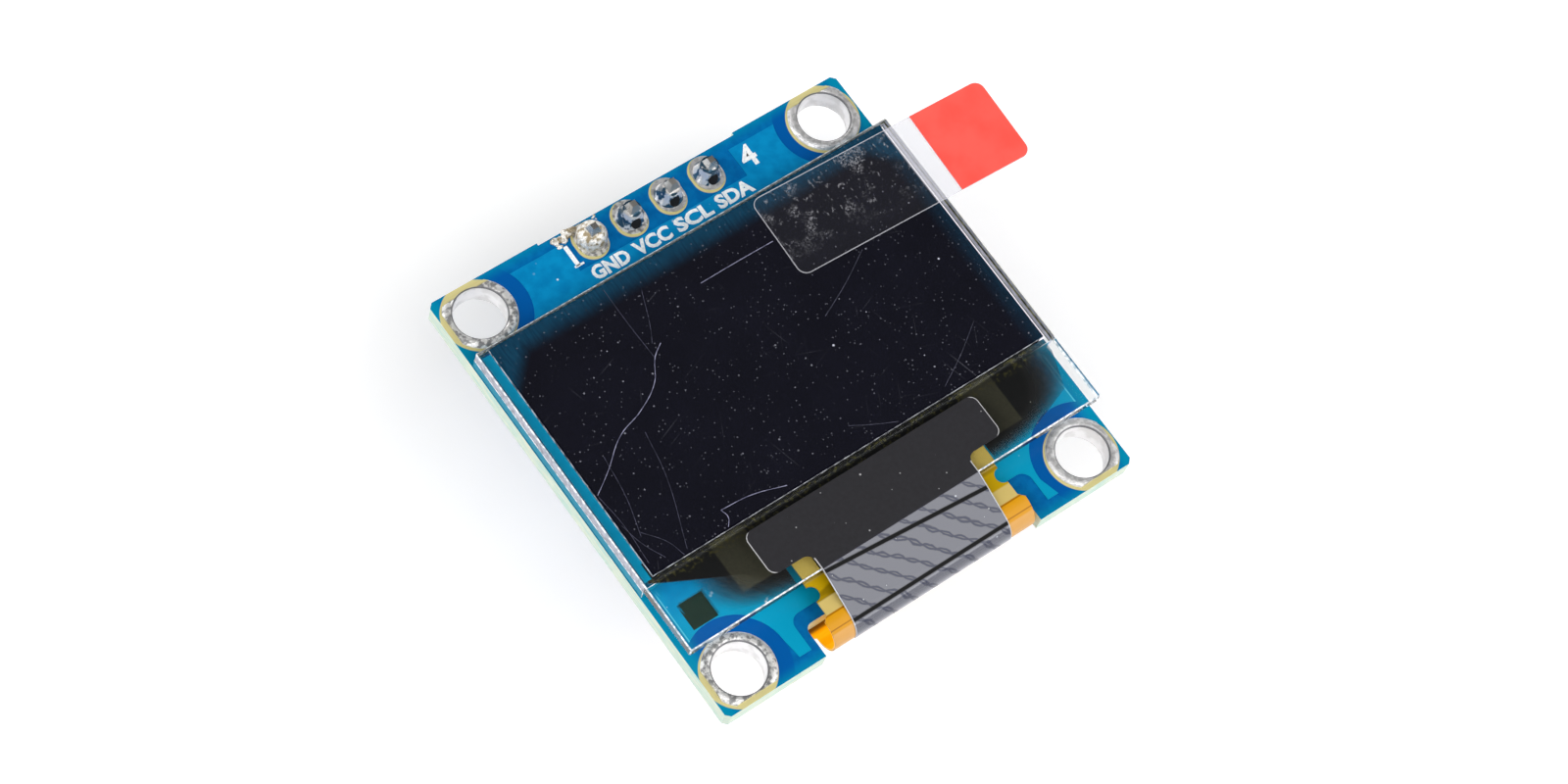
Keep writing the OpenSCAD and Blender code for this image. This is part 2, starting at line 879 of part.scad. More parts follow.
// Black tape on the glass that drops from its edge onto the fold and follows it round
module light_shield() {
    lap = shield_rise / 2;
    out = [cos(shield_meet), sin(shield_meet)];
    centre = [fold_y, fold_z];
    edge = [glass_bottom, z_face];
    meet = centre + fold_r * out;
    color("#2d2c2f")
        union() {
            translate([0, 0, z_face])
                linear_extrude(shield_t)
                    shield_outline();
            along_x(shield_neck_w)
                polygon([
                    edge, edge + [lap, 0], edge + [lap, shield_t], edge + [0, shield_t],
                    edge + shield_t * out, meet + shield_t * out, meet,
                ]);
            along_x(shield_neck_w)
                translate(centre)
                    arc_band(fold_r, shield_t, shield_meet - meet_lap, 180 + shield_wrap);
        }
}

// Ceramic middle of a chip, a step inside its terminals
module chip_body(height) {
    l = chip_l - 2 * terminal_l;
    w = chip_w - 2 * terminal_step;
    translate([-l / 2, -w / 2, terminal_step])
        cube([l, w, height - 2 * terminal_step]);
}

module resistor(i) {
    color("#26262a")
        on_rear(resistor_places[i - 1], plating_t)
            chip_body(resistor_h);
}

module capacitor(i) {
    color("#b98a62")
        on_rear(capacitor_places[i - 1], plating_t)
            chip_body(capacitor_h);
}

// Two terminals of one chip
module terminals(height) {
    for (x = [-chip_l / 2, chip_l / 2 - terminal_l])
        translate([x, -chip_w / 2, 0])
            cube([terminal_l, chip_w, height]);
}

module chip_terminals() {
    color("#c9c9c6") {
        for (place = resistor_places)
            on_rear(place, plating_t)
                terminals(resistor_h);
        for (place = capacitor_places)
            on_rear(place, plating_t)
                terminals(capacitor_h);
    }
}

// Concave wedge of solder, drawn from the face that it climbs
module wedge(length, height, width) {
    rotate([90, 0, 0])
        translate([0, 0, -width / 2])
            linear_extrude(width)
                polygon([[0, 0], [length, 0], [length / 3, height / 3], [0, height]]);
}

// Solder at both ends of one chip
module fillets(height) {
    for (turn = [0, 180])
        rotate(turn)
            translate([chip_l / 2, 0, 0])
                wedge(land_toe, height - fillet_drop, chip_w);
}

module chip_solder() {
    color("#d2d1cb") {
        for (place = resistor_places)
            on_rear(place, plating_t)
                fillets(resistor_h);
        for (place = capacitor_places)
            on_rear(place, plating_t)
                fillets(capacitor_h);
    }
}

// Seats of bent leads: the side they leave by, in degrees, and their offset along that side
function regulator_seats() = [[180, 0], [0, regulator_pitch], [0, -regulator_pitch]];
function diode_seats() = [[180, 0], [0, 0]];

// Land under the foot of one bent lead
module bent_land(seat, reach) {
    rotate(seat[0])
        translate([reach - bent_foot_l, seat[1] - bent_land_w / 2, 0])
            cube([bent_foot_l + bent_toe, bent_land_w, plating_t]);
}

// Lead that leaves a body's side at half height, bends down and ends in a foot
module bent_lead(seat, side, reach, height) {
    t = bent_lead_t;
    heel = reach - bent_foot_l;
    exit = body_lift + (height - t) / 2;
    rotate(seat[0])
        translate([0, seat[1] + bent_lead_w / 2, 0])
            rotate([90, 0, 0])
                linear_extrude(bent_lead_w)
                    polygon([
                        [reach, 0], [reach, t], [heel, t], [heel, exit + t],
                        [side, exit + t], [side, exit], [heel - t, exit], [heel - t, 0],
                    ]);
}

// Side view of a moulded body: drafted above and below a straight band where the leads leave
module body_profile(width, height) {
    w = width / 2;
    d = body_draft;
    low = (height - bent_lead_t) / 2;
    high = (height + bent_lead_t) / 2;
    polygon([
        [d - w, 0], [w - d, 0], [w, low], [w, high],
        [w - d, height], [d - w, height], [-w, high], [-w, low],
    ]);
}

module moulded_body(width, length, height) {
    translate([0, 0, body_lift])
        intersection() {
            along_x(width)
                body_profile(length, height);
            rotate(90)
                along_x(length)
                    body_profile(width, height);
        }
}

module regulator_body() {
    color("#1d1d20")
        on_rear(regulator_place, plating_t)
            moulded_body(regulator_w, regulator_l, regulator_h);
}

module regulator_leads() {
    color("#bdbdb9")
        on_rear(regulator_place, plating_t)
            for (seat = regulator_seats())
                bent_lead(seat, regulator_w / 2, regulator_reach, regulator_h);
}

module diode_body() {
    color("#1d1d20")
        on_rear(diode_place, plating_t)
            moulded_body(diode_w, diode_l, diode_h);
}

module diode_leads() {
    color("#bdbdb9")
        on_rear(diode_place, plating_t)
            for (seat = diode_seats())
                bent_lead(seat, diode_w / 2, diode_reach, diode_h);
}

// Solder at the toe of one bent lead
module toe(seat, reach) {
    rotate(seat[0])
        translate([reach, seat[1], 0])
            wedge(bent_toe, bent_lead_t, bent_lead_w);
}

module lead_solder() {
    color("#d2d1cb") {
        on_rear(regulator_place, plating_t)
            for (seat = regulator_seats())
                toe(seat, regulator_reach);
        on_rear(diode_place, plating_t)
            for (seat = diode_seats())
                toe(seat, diode_reach);
    }
}

// Round bump of solder on each open link land
module link_solder() {
    base_r = land_l / 2;
    ball_r = (base_r * base_r + bump_h * bump_h) / (2 * bump_h);
    color("#d2d1cb")
        for (place = link_places)
            on_rear(place, plating_t)
                rotate_extrude()
                    intersection() {
                        square([base_r, bump_h]);
                        translate([0, bump_h - ball_r])
                            circle(ball_r);
                    }
}

board();
for (i = [1:4])
    mounting_eyelet(i);
header_eyelets();
rear_lands();
header_housing();
for (i = [1:pin_count])
    header_pin(i);
for (i = [1:pin_count])
    header_joint(i);
panel_pad();
rear_glass();
desiccant_sheet();
seal_bead();
emitter_layers();
front_glass();
routing_film();
driver_chip();
polariser();
protective_film();
pull_tape();
pull_grip();
flex_cable();
flex_traces();
flex_solder();
light_shield();
for (i = [1:len(resistor_places)])
    resistor(i);
for (i = [1:len(capacitor_places)])
    capacitor(i);
chip_terminals();
chip_solder();
regulator_body();
regulator_leads();
diode_body();
diode_leads();
lead_solder();
link_solder();
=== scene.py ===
import json
import math
import random

import bmesh
import bpy
from mathutils import Matrix, Vector, noise


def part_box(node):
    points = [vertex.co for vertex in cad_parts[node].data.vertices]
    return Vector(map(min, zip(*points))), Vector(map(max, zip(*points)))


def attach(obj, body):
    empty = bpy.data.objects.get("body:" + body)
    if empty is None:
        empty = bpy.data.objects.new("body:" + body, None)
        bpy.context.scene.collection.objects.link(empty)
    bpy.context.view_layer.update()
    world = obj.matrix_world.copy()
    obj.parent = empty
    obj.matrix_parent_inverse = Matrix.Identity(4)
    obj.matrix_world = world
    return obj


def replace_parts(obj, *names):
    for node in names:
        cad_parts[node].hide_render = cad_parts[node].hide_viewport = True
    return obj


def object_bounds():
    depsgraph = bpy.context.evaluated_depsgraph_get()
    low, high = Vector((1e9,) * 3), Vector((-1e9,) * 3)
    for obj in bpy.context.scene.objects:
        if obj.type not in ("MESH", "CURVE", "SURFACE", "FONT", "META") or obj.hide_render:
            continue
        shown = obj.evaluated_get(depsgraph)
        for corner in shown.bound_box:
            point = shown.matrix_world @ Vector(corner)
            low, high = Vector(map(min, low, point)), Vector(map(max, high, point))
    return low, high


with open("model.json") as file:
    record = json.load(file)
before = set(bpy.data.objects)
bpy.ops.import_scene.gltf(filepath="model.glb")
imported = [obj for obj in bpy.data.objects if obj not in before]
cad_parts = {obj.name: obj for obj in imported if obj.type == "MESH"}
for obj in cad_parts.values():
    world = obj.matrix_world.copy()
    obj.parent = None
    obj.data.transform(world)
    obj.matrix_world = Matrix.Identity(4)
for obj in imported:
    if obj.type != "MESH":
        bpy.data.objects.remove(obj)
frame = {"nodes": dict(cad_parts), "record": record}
nodes = frame["nodes"]
cad_low, cad_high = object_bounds()


# Circuit board: glass-fibre laminate between two skins of glossy blue solder mask. It is milled
# out of a larger sheet, so its edges show the pale laminate, and the mask stops short of the
# plated corner holes and leaves a rim of bare laminate there.

MM = 0.001


def box_mm(node):
    """Lowest and highest corner of a CAD node, in millimetres."""
    low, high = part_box(node)
    return Vector(low) / MM, Vector(high) / MM


def paint(red, green, blue):
    """A colour as it looks on screen, from 0 to 255, as the linear colour that a shader takes."""
    def linear(level):
        share = level / 255
        return share / 12.92 if share <= 0.04045 else ((share + 0.055) / 1.055) ** 2.4
    return (linear(red), linear(green), linear(blue), 1)


def math_operator(operation):
    """A Python operator that adds a Math node, for a value on its left and for one on its right."""
    def on_left(self, other):
        return self.tree.calc(operation, self, other)

    def on_right(self, other):
        return self.tree.calc(operation, other, self)
    return on_left, on_right


class Field:
    """A value, place or colour that changes over a surface, with which a finish can reckon. The
    larger of two values is first | second, so that either of two masks shows."""

    __add__, __radd__ = math_operator("ADD")
    __sub__, __rsub__ = math_operator("SUBTRACT")
    __mul__, __rmul__ = math_operator("MULTIPLY")
    __truediv__, __rtruediv__ = math_operator("DIVIDE")
    __pow__, __rpow__ = math_operator("POWER")
    __or__, __ror__ = math_operator("MAXIMUM")

    def __init__(self, tree, socket):
        self.tree = tree
        self.socket = socket

    def __getitem__(self, output):
        """Another output of the node that the value comes from."""
        return Field(self.tree, self.socket.node.outputs[output])

    def __abs__(self):
        return self.tree.calc("ABSOLUTE", self)

    def ramp(self, start, end):
        """Goes smoothly from 0 where the value is start to 1 where it is end."""
        inputs = {"Value": self, "From Min": start, "From Max": end}
        return self.tree.node("MapRange", inputs, interpolation_type="SMOOTHSTEP")

    def above(self, limit, soft):
        """1 where the value is over the limit, with an edge that is soft to both sides of it."""
        return self.ramp(limit - soft, limit + soft)

    def below(self, limit, soft):
        """1 where the value is under the limit, with an edge that is soft to both sides of it."""
        return self.ramp(limit + soft, limit - soft)

    def between(self, low, high, soft):
        return self.above(low, soft) * self.below(high, soft)

    def mix(self, first, second):
        """A colour that goes from first to second as the value goes from 0 to 1."""
        return self.tree.node("Mix", {0: self, 6: first, 7: second}, data_type="RGBA")[2]

    def coated(self, *coats):
        """This colour under coats of other colours, each with the share that it covers."""
        colour = self
        for share, coat in coats:
            colour = share.mix(colour, coat)
        return colour

    def vector(self, operation, other=(0, 0, 0)):
        return self.tree.node("VectorMath", {0: self, 1: other}, operation=operation)

    def distance(self, centre):
        return self.vector("DISTANCE", centre)["Value"]

    def turned(self, degrees):
        return self.tree.node("VectorRotate", {"Vector": self, "Angle": math.radians(degrees)})

    def split(self):
        parts = self.tree.node("SeparateXYZ", {0: self})
        return parts["X"], parts["Y"], parts["Z"]

    def noise(self, per_mm, detail=3.0):
        inputs = {"Vector": self, "Scale": per_mm, "Detail": detail}
        return self.tree.node("TexNoise", inputs)

    def streaks(self, per_mm, detail=3.0):
        """Noise that has its own scale along each axis."""
        return self.vector("MULTIPLY", per_mm).noise(1.0, detail)


class Nodes:
    """Short ways to add nodes to a shader tree."""

    def __init__(self, tree):
        self.tree = tree

    def fill(self, socket, value):
        if isinstance(value, Field):
            self.tree.links.new(value.socket, socket)
        else:
            socket.default_value = value

    def node(self, kind, inputs=None, **settings):
        made = self.tree.nodes.new("ShaderNode" + kind)
        for name, value in settings.items():
            setattr(made, name, value)
        for name, value in (inputs or {}).items():
            self.fill(made.inputs[name], value)
        return Field(self, made.outputs[0])

    def calc(self, operation, *values):
        return self.node("Math", dict(enumerate(values)), operation=operation)


def shader_group(name, inputs, outputs):
    """An empty node group with a place and some numbers going in and some values coming out."""
    group = bpy.data.node_groups.new(name, "ShaderNodeTree")
    sockets = [("Place", "INPUT", "Vector")]
    sockets += [(socket, "INPUT", "Float") for socket in inputs]
    sockets += [(socket, "OUTPUT", "Float") for socket in outputs]
    for socket, way, kind in sockets:
        group.interface.new_socket(socket, in_out=way, socket_type="NodeSocket" + kind)
    tree = Nodes(group)
    given = Field(tree, group.nodes.new("NodeGroupInput").outputs["Place"])
    return tree, given, group.nodes.new("NodeGroupOutput").inputs


def grain_group():
    """Broad unevenness and fine grain of a surface, for a grain of Size millimetres."""
    tree, given, result = shader_group("Grain", ["Size"], ["Tone", "Height"])
    per_mm = 1.0 / given["Size"]
    tree.fill(result["Tone"], given["Place"].noise(per_mm))
    tree.fill(result["Height"], given["Place"].noise(per_mm * 4.0, 2.0))
    return tree.tree


GRAIN = grain_group()


class Finish(Nodes):
    """The finish of a surface: a Principled shader, the place on the piece in millimetres, and a
    grain of so many millimetres that shades its colours and stands out by a depth."""

    def __init__(self, name, grain=None, depth=None, **settings):
        self.material = bpy.data.materials.new(name)
        self.material.use_nodes = True
        super().__init__(self.material.node_tree)
        self.shader = self.tree.nodes["Principled BSDF"]
        self.surface = Field(self, self.shader.outputs[0])
        for socket, value in settings.items():
            self.feed(socket.replace("_", " "), value)
        self.place = self.node("TexCoord")["Object"].vector("MULTIPLY", (1 / MM, 1 / MM, 1 / MM))
        self.x, self.y, self.z = self.place.split()
        if grain:
            made = self.group(GRAIN, Size=grain)
            self.tone, self.height = made["Tone"], made["Height"]
        if depth:
            self.bump(self.height, depth)

    def feed(self, socket, value):
        self.fill(self.shader.inputs[socket], value)

    def show(self, kind, inputs):
        """Shows a blend of surfaces instead of the shader alone."""
        output = self.tree.nodes["Material Output"].inputs["Surface"]
        self.fill(output, self.node(kind, inputs))

    def group(self, tree, **inputs):
        return self.node("Group", {"Place": self.place, **inputs}, node_tree=tree)

    def bump(self, height, depth):
        inputs = {"Height": height, "Distance": depth * MM, "Strength": 1.0}
        self.feed("Normal", self.node("Bump", inputs))

    def tones(self, dark, pale, *spread):
        """Two screen colours that follow the grain's tone, or a narrower spread of that tone."""
        share = self.tone.ramp(*spread) if spread else self.tone
        return share.mix(paint(*dark), paint(*pale))

    def dress(self, *names):
        """Gives this finish to CAD nodes."""
        for name in names:
            for slot in nodes[name].material_slots:
                slot.material = self.material


board_low, board_high = box_mm("board")
hole_pattern = next(m for m in frame["record"]["mounts"] if m["name"] == "mounting_holes")["dims"]
hole_x = hole_pattern["spacing_x_mm"] / 2
hole_y = hole_pattern["spacing_y_mm"] / 2
keep_out_r = 2.85
mask_opening_r, mask_shift = 2.07, (0.08, 0.05, 0)
pin_pitch, header_y = 2.54, 12.2
land_half, land_straight = 0.93, 0.2
glossy, milled = 0.23, 0.725
bare_laminate = paint(206, 196, 138)


def reach(across, along):
    """Length of the straight way that goes so far across and so far along."""
    return (across * across + along * along) ** 0.5


def from_corner_hole(place):
    """How far a place on the board is from the middle of the nearest corner hole."""
    return place.vector("MULTIPLY", (1, 1, 0)).vector("ABSOLUTE").distance((hole_x, hole_y, 0))


mask = Finish("blue_solder_mask", 0.5, 0.006, Specular_IOR_Level=0.2)
shifted = mask.place.vector("ADD", mask_shift)
x, y = shifted.split()[:2]
from_pin = pin_pitch / 2 - mask.calc("PINGPONG", x, pin_pitch / 2)
off_row = abs(y - header_y) - land_straight | 0.0
lands = reach(from_pin, off_row).below(land_half, 0.02) * abs(mask.x).below(2 * pin_pitch, 0.05)
bare = lands | from_corner_hole(shifted).below(mask_opening_r, 0.02)
to_side = board_high.x - abs(mask.x)
to_end = board_high.y + 0.5 - abs(mask.y)
rim = mask.calc("MINIMUM", to_side, to_end).ramp(1.2, 0.2)
keep_out = from_corner_hole(mask.place).below(keep_out_r, 0.04)
edge = mask.z.between(board_low.z + 0.01, board_high.z - 0.01, 0.004)
layers = mask.place.streaks((0.6, 0.6, 9)).ramp(0.42, 0.6)
laminate = layers.mix(paint(226, 234, 216), paint(196, 224, 214))
mask.feed("Base Color", mask.tones((0, 94, 158), (2, 107, 170), 0.35, 0.65).coated(
    (keep_out, paint(0, 85, 158)), (rim, paint(0, 132, 168)), (bare, bare_laminate), (edge, laminate),
))
mask.feed("Roughness", edge * (milled - glossy) + glossy)
mask.dress("board")


# Copper under the mask: the poured areas and tracks of both faces. The etched copper lifts the
# mask a little, and the mask looks brighter over it than over the bare laminate. Towards the board's
# sides and under the glass ledge it is painted brighter still, as painted light, and a painted
# highlight runs along the copper's side edges.

pour_t, pour_side = 0.03, 12.7
REAR = Matrix.Translation((0, 0, board_low.z)) @ Matrix.Rotation(math.pi, 4, "Y")


def specks_group():
    """Scattered specks: Size millimetres at most, about Spacing apart, a Share of places filled."""
    tree, given, result = shader_group("Specks", ["Spacing", "Size", "Share"], ["Mask"])
    spacing = given["Spacing"]
    cells = tree.node("TexVoronoi", {"Vector": given["Place"], "Scale": 1.0 / spacing})
    chance = tree.node("SeparateColor", {0: cells["Color"]})
    size = given["Size"] * chance["Green"]
    inside = (cells["Distance"] * spacing).ramp(size, size * 0.5)
    chosen = tree.calc("LESS_THAN", chance["Red"], given["Share"])
    tree.fill(result["Mask"], inside * chosen)
    return tree.tree


SPECKS = specks_group()


def specks(finish, spacing, size, share):
    return finish.group(SPECKS, Spacing=spacing, Size=size, Share=share)["Mask"]


def toned_finish(name, dark, pale, grain, depth=None, spread=(0.3, 0.7), **settings):
    """A finish of two close tones with a fine grain."""
    finish = Finish(name, grain, depth, **settings)
    finish.feed("Base Color", finish.tones(dark, pale, *spread))
    return finish


def curve_mesh(curve):
    """Turns a curve into a mesh."""
    shape = bpy.data.objects.new("shape", curve)
    mesh = bpy.data.meshes.new_from_object(shape)
    bpy.data.objects.remove(shape)
    bpy.data.curves.remove(curve)
    return mesh


def add_mesh(bm, mesh, place):
    """Puts a mesh in its place and moves it into the bmesh."""
    mesh.transform(place)
    bm.from_mesh(mesh)
    bpy.data.meshes.remove(mesh)


def add_plate(bm, outlines, low, high, face=Matrix()):
    """Adds a flat plate between two heights. An outline inside another one is a hole in it."""
    curve = bpy.data.curves.new("plate", "CURVE")
    curve.dimensions = "2D"
    curve.fill_mode = "BOTH"
    curve.extrude = (high - low) / 2
    for outline in outlines:
        spline = curve.splines.new("POLY")
        spline.points.add(len(outline) - 1)
        for point, (x, y) in zip(spline.points, outline):
            point.co = (x, y, 0, 1)
        spline.use_cyclic_u = True
    add_mesh(bm, curve_mesh(curve), face @ Matrix.Translation((0, 0, (low + high) / 2)))


def arc(centre, radius, start, end, steps=16):
    """Points along an arc, from one angle to another in degrees."""
    angles = [math.radians(start + (end - start) * k / steps) for k in range(steps + 1)]
    return [(centre[0] + radius * math.cos(a), centre[1] + radius * math.sin(a)) for a in angles]


def new_mesh(name, bm):
    """Turns a bmesh into a mesh."""
    mesh = bpy.data.meshes.new(name)
    bm.to_mesh(mesh)
    bm.free()
    return mesh


def new_object(name, data):
    """Puts a mesh, lamp or camera into the scene."""
    made = bpy.data.objects.new(name, data)
    bpy.context.collection.objects.link(made)
    return made


def add_piece(name, bm, finish, smooth_deg=None):
    """Makes a piece of the object out of a bmesh in millimetres, and fixes it to the board."""
    bmesh.ops.remove_doubles(bm, verts=bm.verts, dist=0.0005)
    bmesh.ops.recalc_face_normals(bm, faces=bm.faces)
    bmesh.ops.scale(bm, vec=(MM, MM, MM), verts=bm.verts)
    for face in bm.faces:
        face.smooth = smooth_deg is not None
    mesh = new_mesh(name, bm)
    if smooth_deg is not None:
        mesh.set_sharp_from_angle(angle=math.radians(smooth_deg))
    mesh.materials.append(finish.material)
    piece = new_object(name, mesh)
    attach(piece, "root")
    return piece


pour = Finish("mask_over_copper", 0.7, 0.006, Roughness=0.28, Specular_IOR_Level=0.2)
aside = abs(pour.x)
# Painted light: the mask is painted brighter towards the board's sides and under the glass ledge.
glow = aside.ramp(board_high.x - 1.6, board_high.x) | pour.y.ramp(-5.5, -9.5)
# Painted highlight: a pale line along the copper's side edges, low on the board.
edge_highlight = aside.between(pour_side - 0.1, pour_side - 0.04, 0.02) * pour.y.below(-6.2, 0.2)
dust = specks(pour, 0.45, 0.11, 0.4) * pour.place.noise(0.3).ramp(0.46, 0.6)
pour.feed("Base Color", pour.tones((0, 122, 178), (4, 138, 192), 0.3, 0.7).coated(
    (glow, paint(2, 150, 188)), (edge_highlight, paint(96, 196, 216)), (dust, paint(230, 240, 244)),
))

pour_top, pour_low = 12.75, 9.4
pads_left, pads_right, pads_low = -5.35, 5.6, 10.95
upper_start = -math.degrees(math.asin((hole_y - pour_low) / keep_out_r))
upper_end = math.degrees(math.asin((pour_top - hole_y) / keep_out_r))
header_pour = (
    arc((-hole_x, hole_y), keep_out_r, upper_start, upper_end)
    + [(pads_left, pour_top), (pads_left, pads_low), (pads_right, pads_low), (pads_right, pour_top)]
    + arc((hole_x, hole_y), keep_out_r, 180 - upper_end, 180 - upper_start)
)
panel_top = 8.9
stem_end, stem_r, shelf = -12.8, 0.6, -10.8
left_stem, right_stem = (8.25, 7.5), (8.75, 8.05)
lower_start = 180 - math.degrees(math.acos((pour_side - hole_x) / keep_out_r))


def pour_foot(outer, inner):
    """Lower left end of the panel's copper: round the hole, down a stem and back to the shelf."""
    round_hole = arc((-hole_x, -hole_y), keep_out_r, lower_start, 0)
    stem = [(-outer, stem_end), (-inner, stem_end)]
    return round_hole + stem + arc((-inner + stem_r, shelf - stem_r), stem_r, 180, 90, 6)


right_foot = [(-x, y) for x, y in reversed(pour_foot(*right_stem))]
panel_pour = [(pour_side, panel_top), (-pour_side, panel_top)] + pour_foot(*left_stem) + right_foot
window_x, window_y, window_half = -11.3, -8.0, 0.78
window_hole = [
    (window_x + right * window_half, window_y + up * window_half)
    for right, up in ((-1, -1), (1, -1), (1, 1), (-1, 1))
]
bm = bmesh.new()
add_plate(bm, [header_pour], 0, pour_t)
add_plate(bm, [panel_pour, window_hole], 0, pour_t)
add_piece("front_copper", bm, pour)

# Sight window in the front copper: a small square where the laminate shows dark green.
dark_green = toned_finish("dark_laminate", (0, 26, 14), (1, 38, 25), 0.3, spread=(), Roughness=0.45)
bm = bmesh.new()
add_plate(bm, [window_hole], 0, pour_t / 2)
add_piece("sight_window", bm, dark_green)

track_w = 0.26
via_r, via_bore_r, via_t = 0.33, 0.13, 1.5 * pour_t


def add_track(bm, points):
    """Adds a flat track on the rear along its points, with round ends and joints."""
    for start, end in zip(points, points[1:]):
        run = Vector(end) - Vector(start)
        turn = math.degrees(math.atan2(run.y, run.x))
        outline = arc(start, track_w / 2, turn + 90, turn + 270, 6)
        outline += arc(end, track_w / 2, turn - 90, turn + 90, 6)
        add_plate(bm, [outline], 0, pour_t, REAR)


def numbered(name, first, last):
    """Names of CAD nodes that are numbered, from the first number to the last."""
    return [f"{name}_{i}" for i in range(first, last + 1)]


def rear_middle(node):
    """Middle of a CAD node, seen from behind."""
    low, high = box_mm(node)
    return -(low.x + high.x) / 2, (low.y + high.y) / 2


header_tracks = [
    [(-3.81, 11.0), (-3.81, 2.7), (-3.35, 2.2), (-3.35, 1.6)],
    [(-1.27, 11.0), (-1.27, 2.4), (-1.0, 2.1), (-1.0, 1.6)],
    [(-6.6, 6.6), (-4.9, 6.6), (-4.4, 6.1), (-4.4, 3.2)],
    [(3.3, 4.8), (4.7, 4.8), (5.3, 5.35), (7.4, 5.35)],
    [(6.3, 4.6), (6.3, 2.6), (5.7, 2.0), (5.7, 1.6)],
    [(1.27, 11.0), (1.27, 9.9)],
    [(-9.8, 4.25), (-11.2, 4.25), (-11.45, 4.0), (-11.45, 1.6)],
    [(10.7, 3.05), (11.6, 3.05), (12.0, 2.65), (12.0, -3.0)],
]
via_places = [
    (1.4, 7.75), (4.6, 4.8), (-6.0, 4.1), (-12.1, 6.0), (11.9, 5.0), (5.8, 1.9), (12.1, -3.4),
]
chip_end, lead_end = -1.3, -4.25
lead_pitch, last_lead = 0.7, 29
leads_low, leads_high = box_mm("flex_solder")
leads_start = -(leads_low.x + leads_high.x + last_lead * lead_pitch) / 2
bm = bmesh.new()
for points in header_tracks:
    add_track(bm, points)
for place in via_places:
    rings = [arc(place, r, 0, 345, 23) for r in (via_r, via_bore_r)]
    add_plate(bm, rings, 0, via_t, REAR)
for node in numbered("capacitor", 1, 7):
    chip_x = rear_middle(node)[0]
    lead = min(max(round((chip_x - leads_start) / lead_pitch), 0), last_lead)
    lead_x = leads_start + lead * lead_pitch
    bend = lead_end + abs(lead_x - chip_x)
    add_track(bm, [(chip_x, chip_end), (chip_x, bend), (lead_x, lead_end)])
add_piece("rear_copper", bm, pour)


# Printing: white ink screened onto the mask on both faces. It names the header pins by their
# function, numbers the first and last pin, and frames and numbers the parts on the rear.

print_t, line_w, cap_share = 0.02, 0.16, 0.7
on_mask = (pour_t, pour_t + print_t)


def add_text(bm, text, centre, fit, turn=0, weight=0.005, heights=on_mask, face=REAR):
    """Adds lettering of a given width and height. A height alone keeps the letters' own width."""
    width, height = fit
    low, high = heights
    letters = bpy.data.curves.new("letters", "FONT")
    letters.body = text
    letters.size = height / cap_share
    letters.resolution_u = 3
    letters.offset = weight
    letters.extrude = (high - low) / 2
    mesh = curve_mesh(letters)
    across = [v.co.x for v in mesh.vertices]
    upward = [v.co.y for v in mesh.vertices]
    grow_y = height / (max(upward) - min(upward))
    grow_x = width / (max(across) - min(across)) if width else grow_y
    middle = ((max(across) + min(across)) / 2, (max(upward) + min(upward)) / 2, 0)
    place = face @ Matrix.Translation((*centre, (low + high) / 2))
    place = place @ Matrix.Rotation(math.radians(turn), 4, "Z")
    place = place @ Matrix.Diagonal((grow_x, grow_y, 1, 1))
    add_mesh(bm, mesh, place @ Matrix.Translation(-Vector(middle)))


def add_bar(bm, x_span, y_span, heights=on_mask, face=REAR):
    """Adds a straight printed bar."""
    spans = (x_span, y_span, heights)
    centre = [(low + high) / 2 for low, high in spans]
    size = [high - low for low, high in spans]
    place = face @ Matrix.Translation(centre) @ Matrix.Diagonal((*size, 1))
    bmesh.ops.create_cube(bm, size=1, matrix=place)


def add_frame(bm, x_span, y_span, open_half):
    """Adds the printed frame round a part: two brackets that leave the middle of it open."""
    lies = x_span[1] - x_span[0] >= y_span[1] - y_span[0]
    along, across = (x_span, y_span) if lies else (y_span, x_span)
    middle = (along[0] + along[1]) / 2
    bars = [((end, end + line_w), across) for end in (along[0], along[1] - line_w)]
    for side in (across[0], across[1] - line_w):
        bars.append(((along[0], middle - open_half), (side, side + line_w)))
        bars.append(((middle + open_half, along[1]), (side, side + line_w)))
    for bar in bars:
        add_bar(bm, *(bar if lies else reversed(bar)))


def lies_across(node):
    """True if a chip's longer side runs from left to right."""
    low, high = box_mm(node)
    return high.x - low.x > high.y - low.y


ink = toned_finish("white_ink", (222, 230, 234), (250, 252, 251), 0.12, 0.004, (0.3, 0.6), Roughness=0.55)

bm = bmesh.new()
label_x, label_y, label_pitch, label_fit = -3.76, 10.42, 2.7, (2.32, 0.85)
for index, label in enumerate(["GND", "VCC", "SCL", "SDA"]):
    centre = (label_x + index * label_pitch, label_y)
    add_text(bm, label, centre, label_fit, weight=0.05, face=Matrix())
add_text(bm, "1", (-5.25, 11.9), (None, 1.3), weight=0.035, face=Matrix())
add_bar(bm, (-5.48, -4.9), (11.2, 11.32), face=Matrix())
add_text(bm, "4", (6.3, 11.9), (0.92, 1.35), weight=0.045, face=Matrix())
add_piece("front_print", bm, ink)

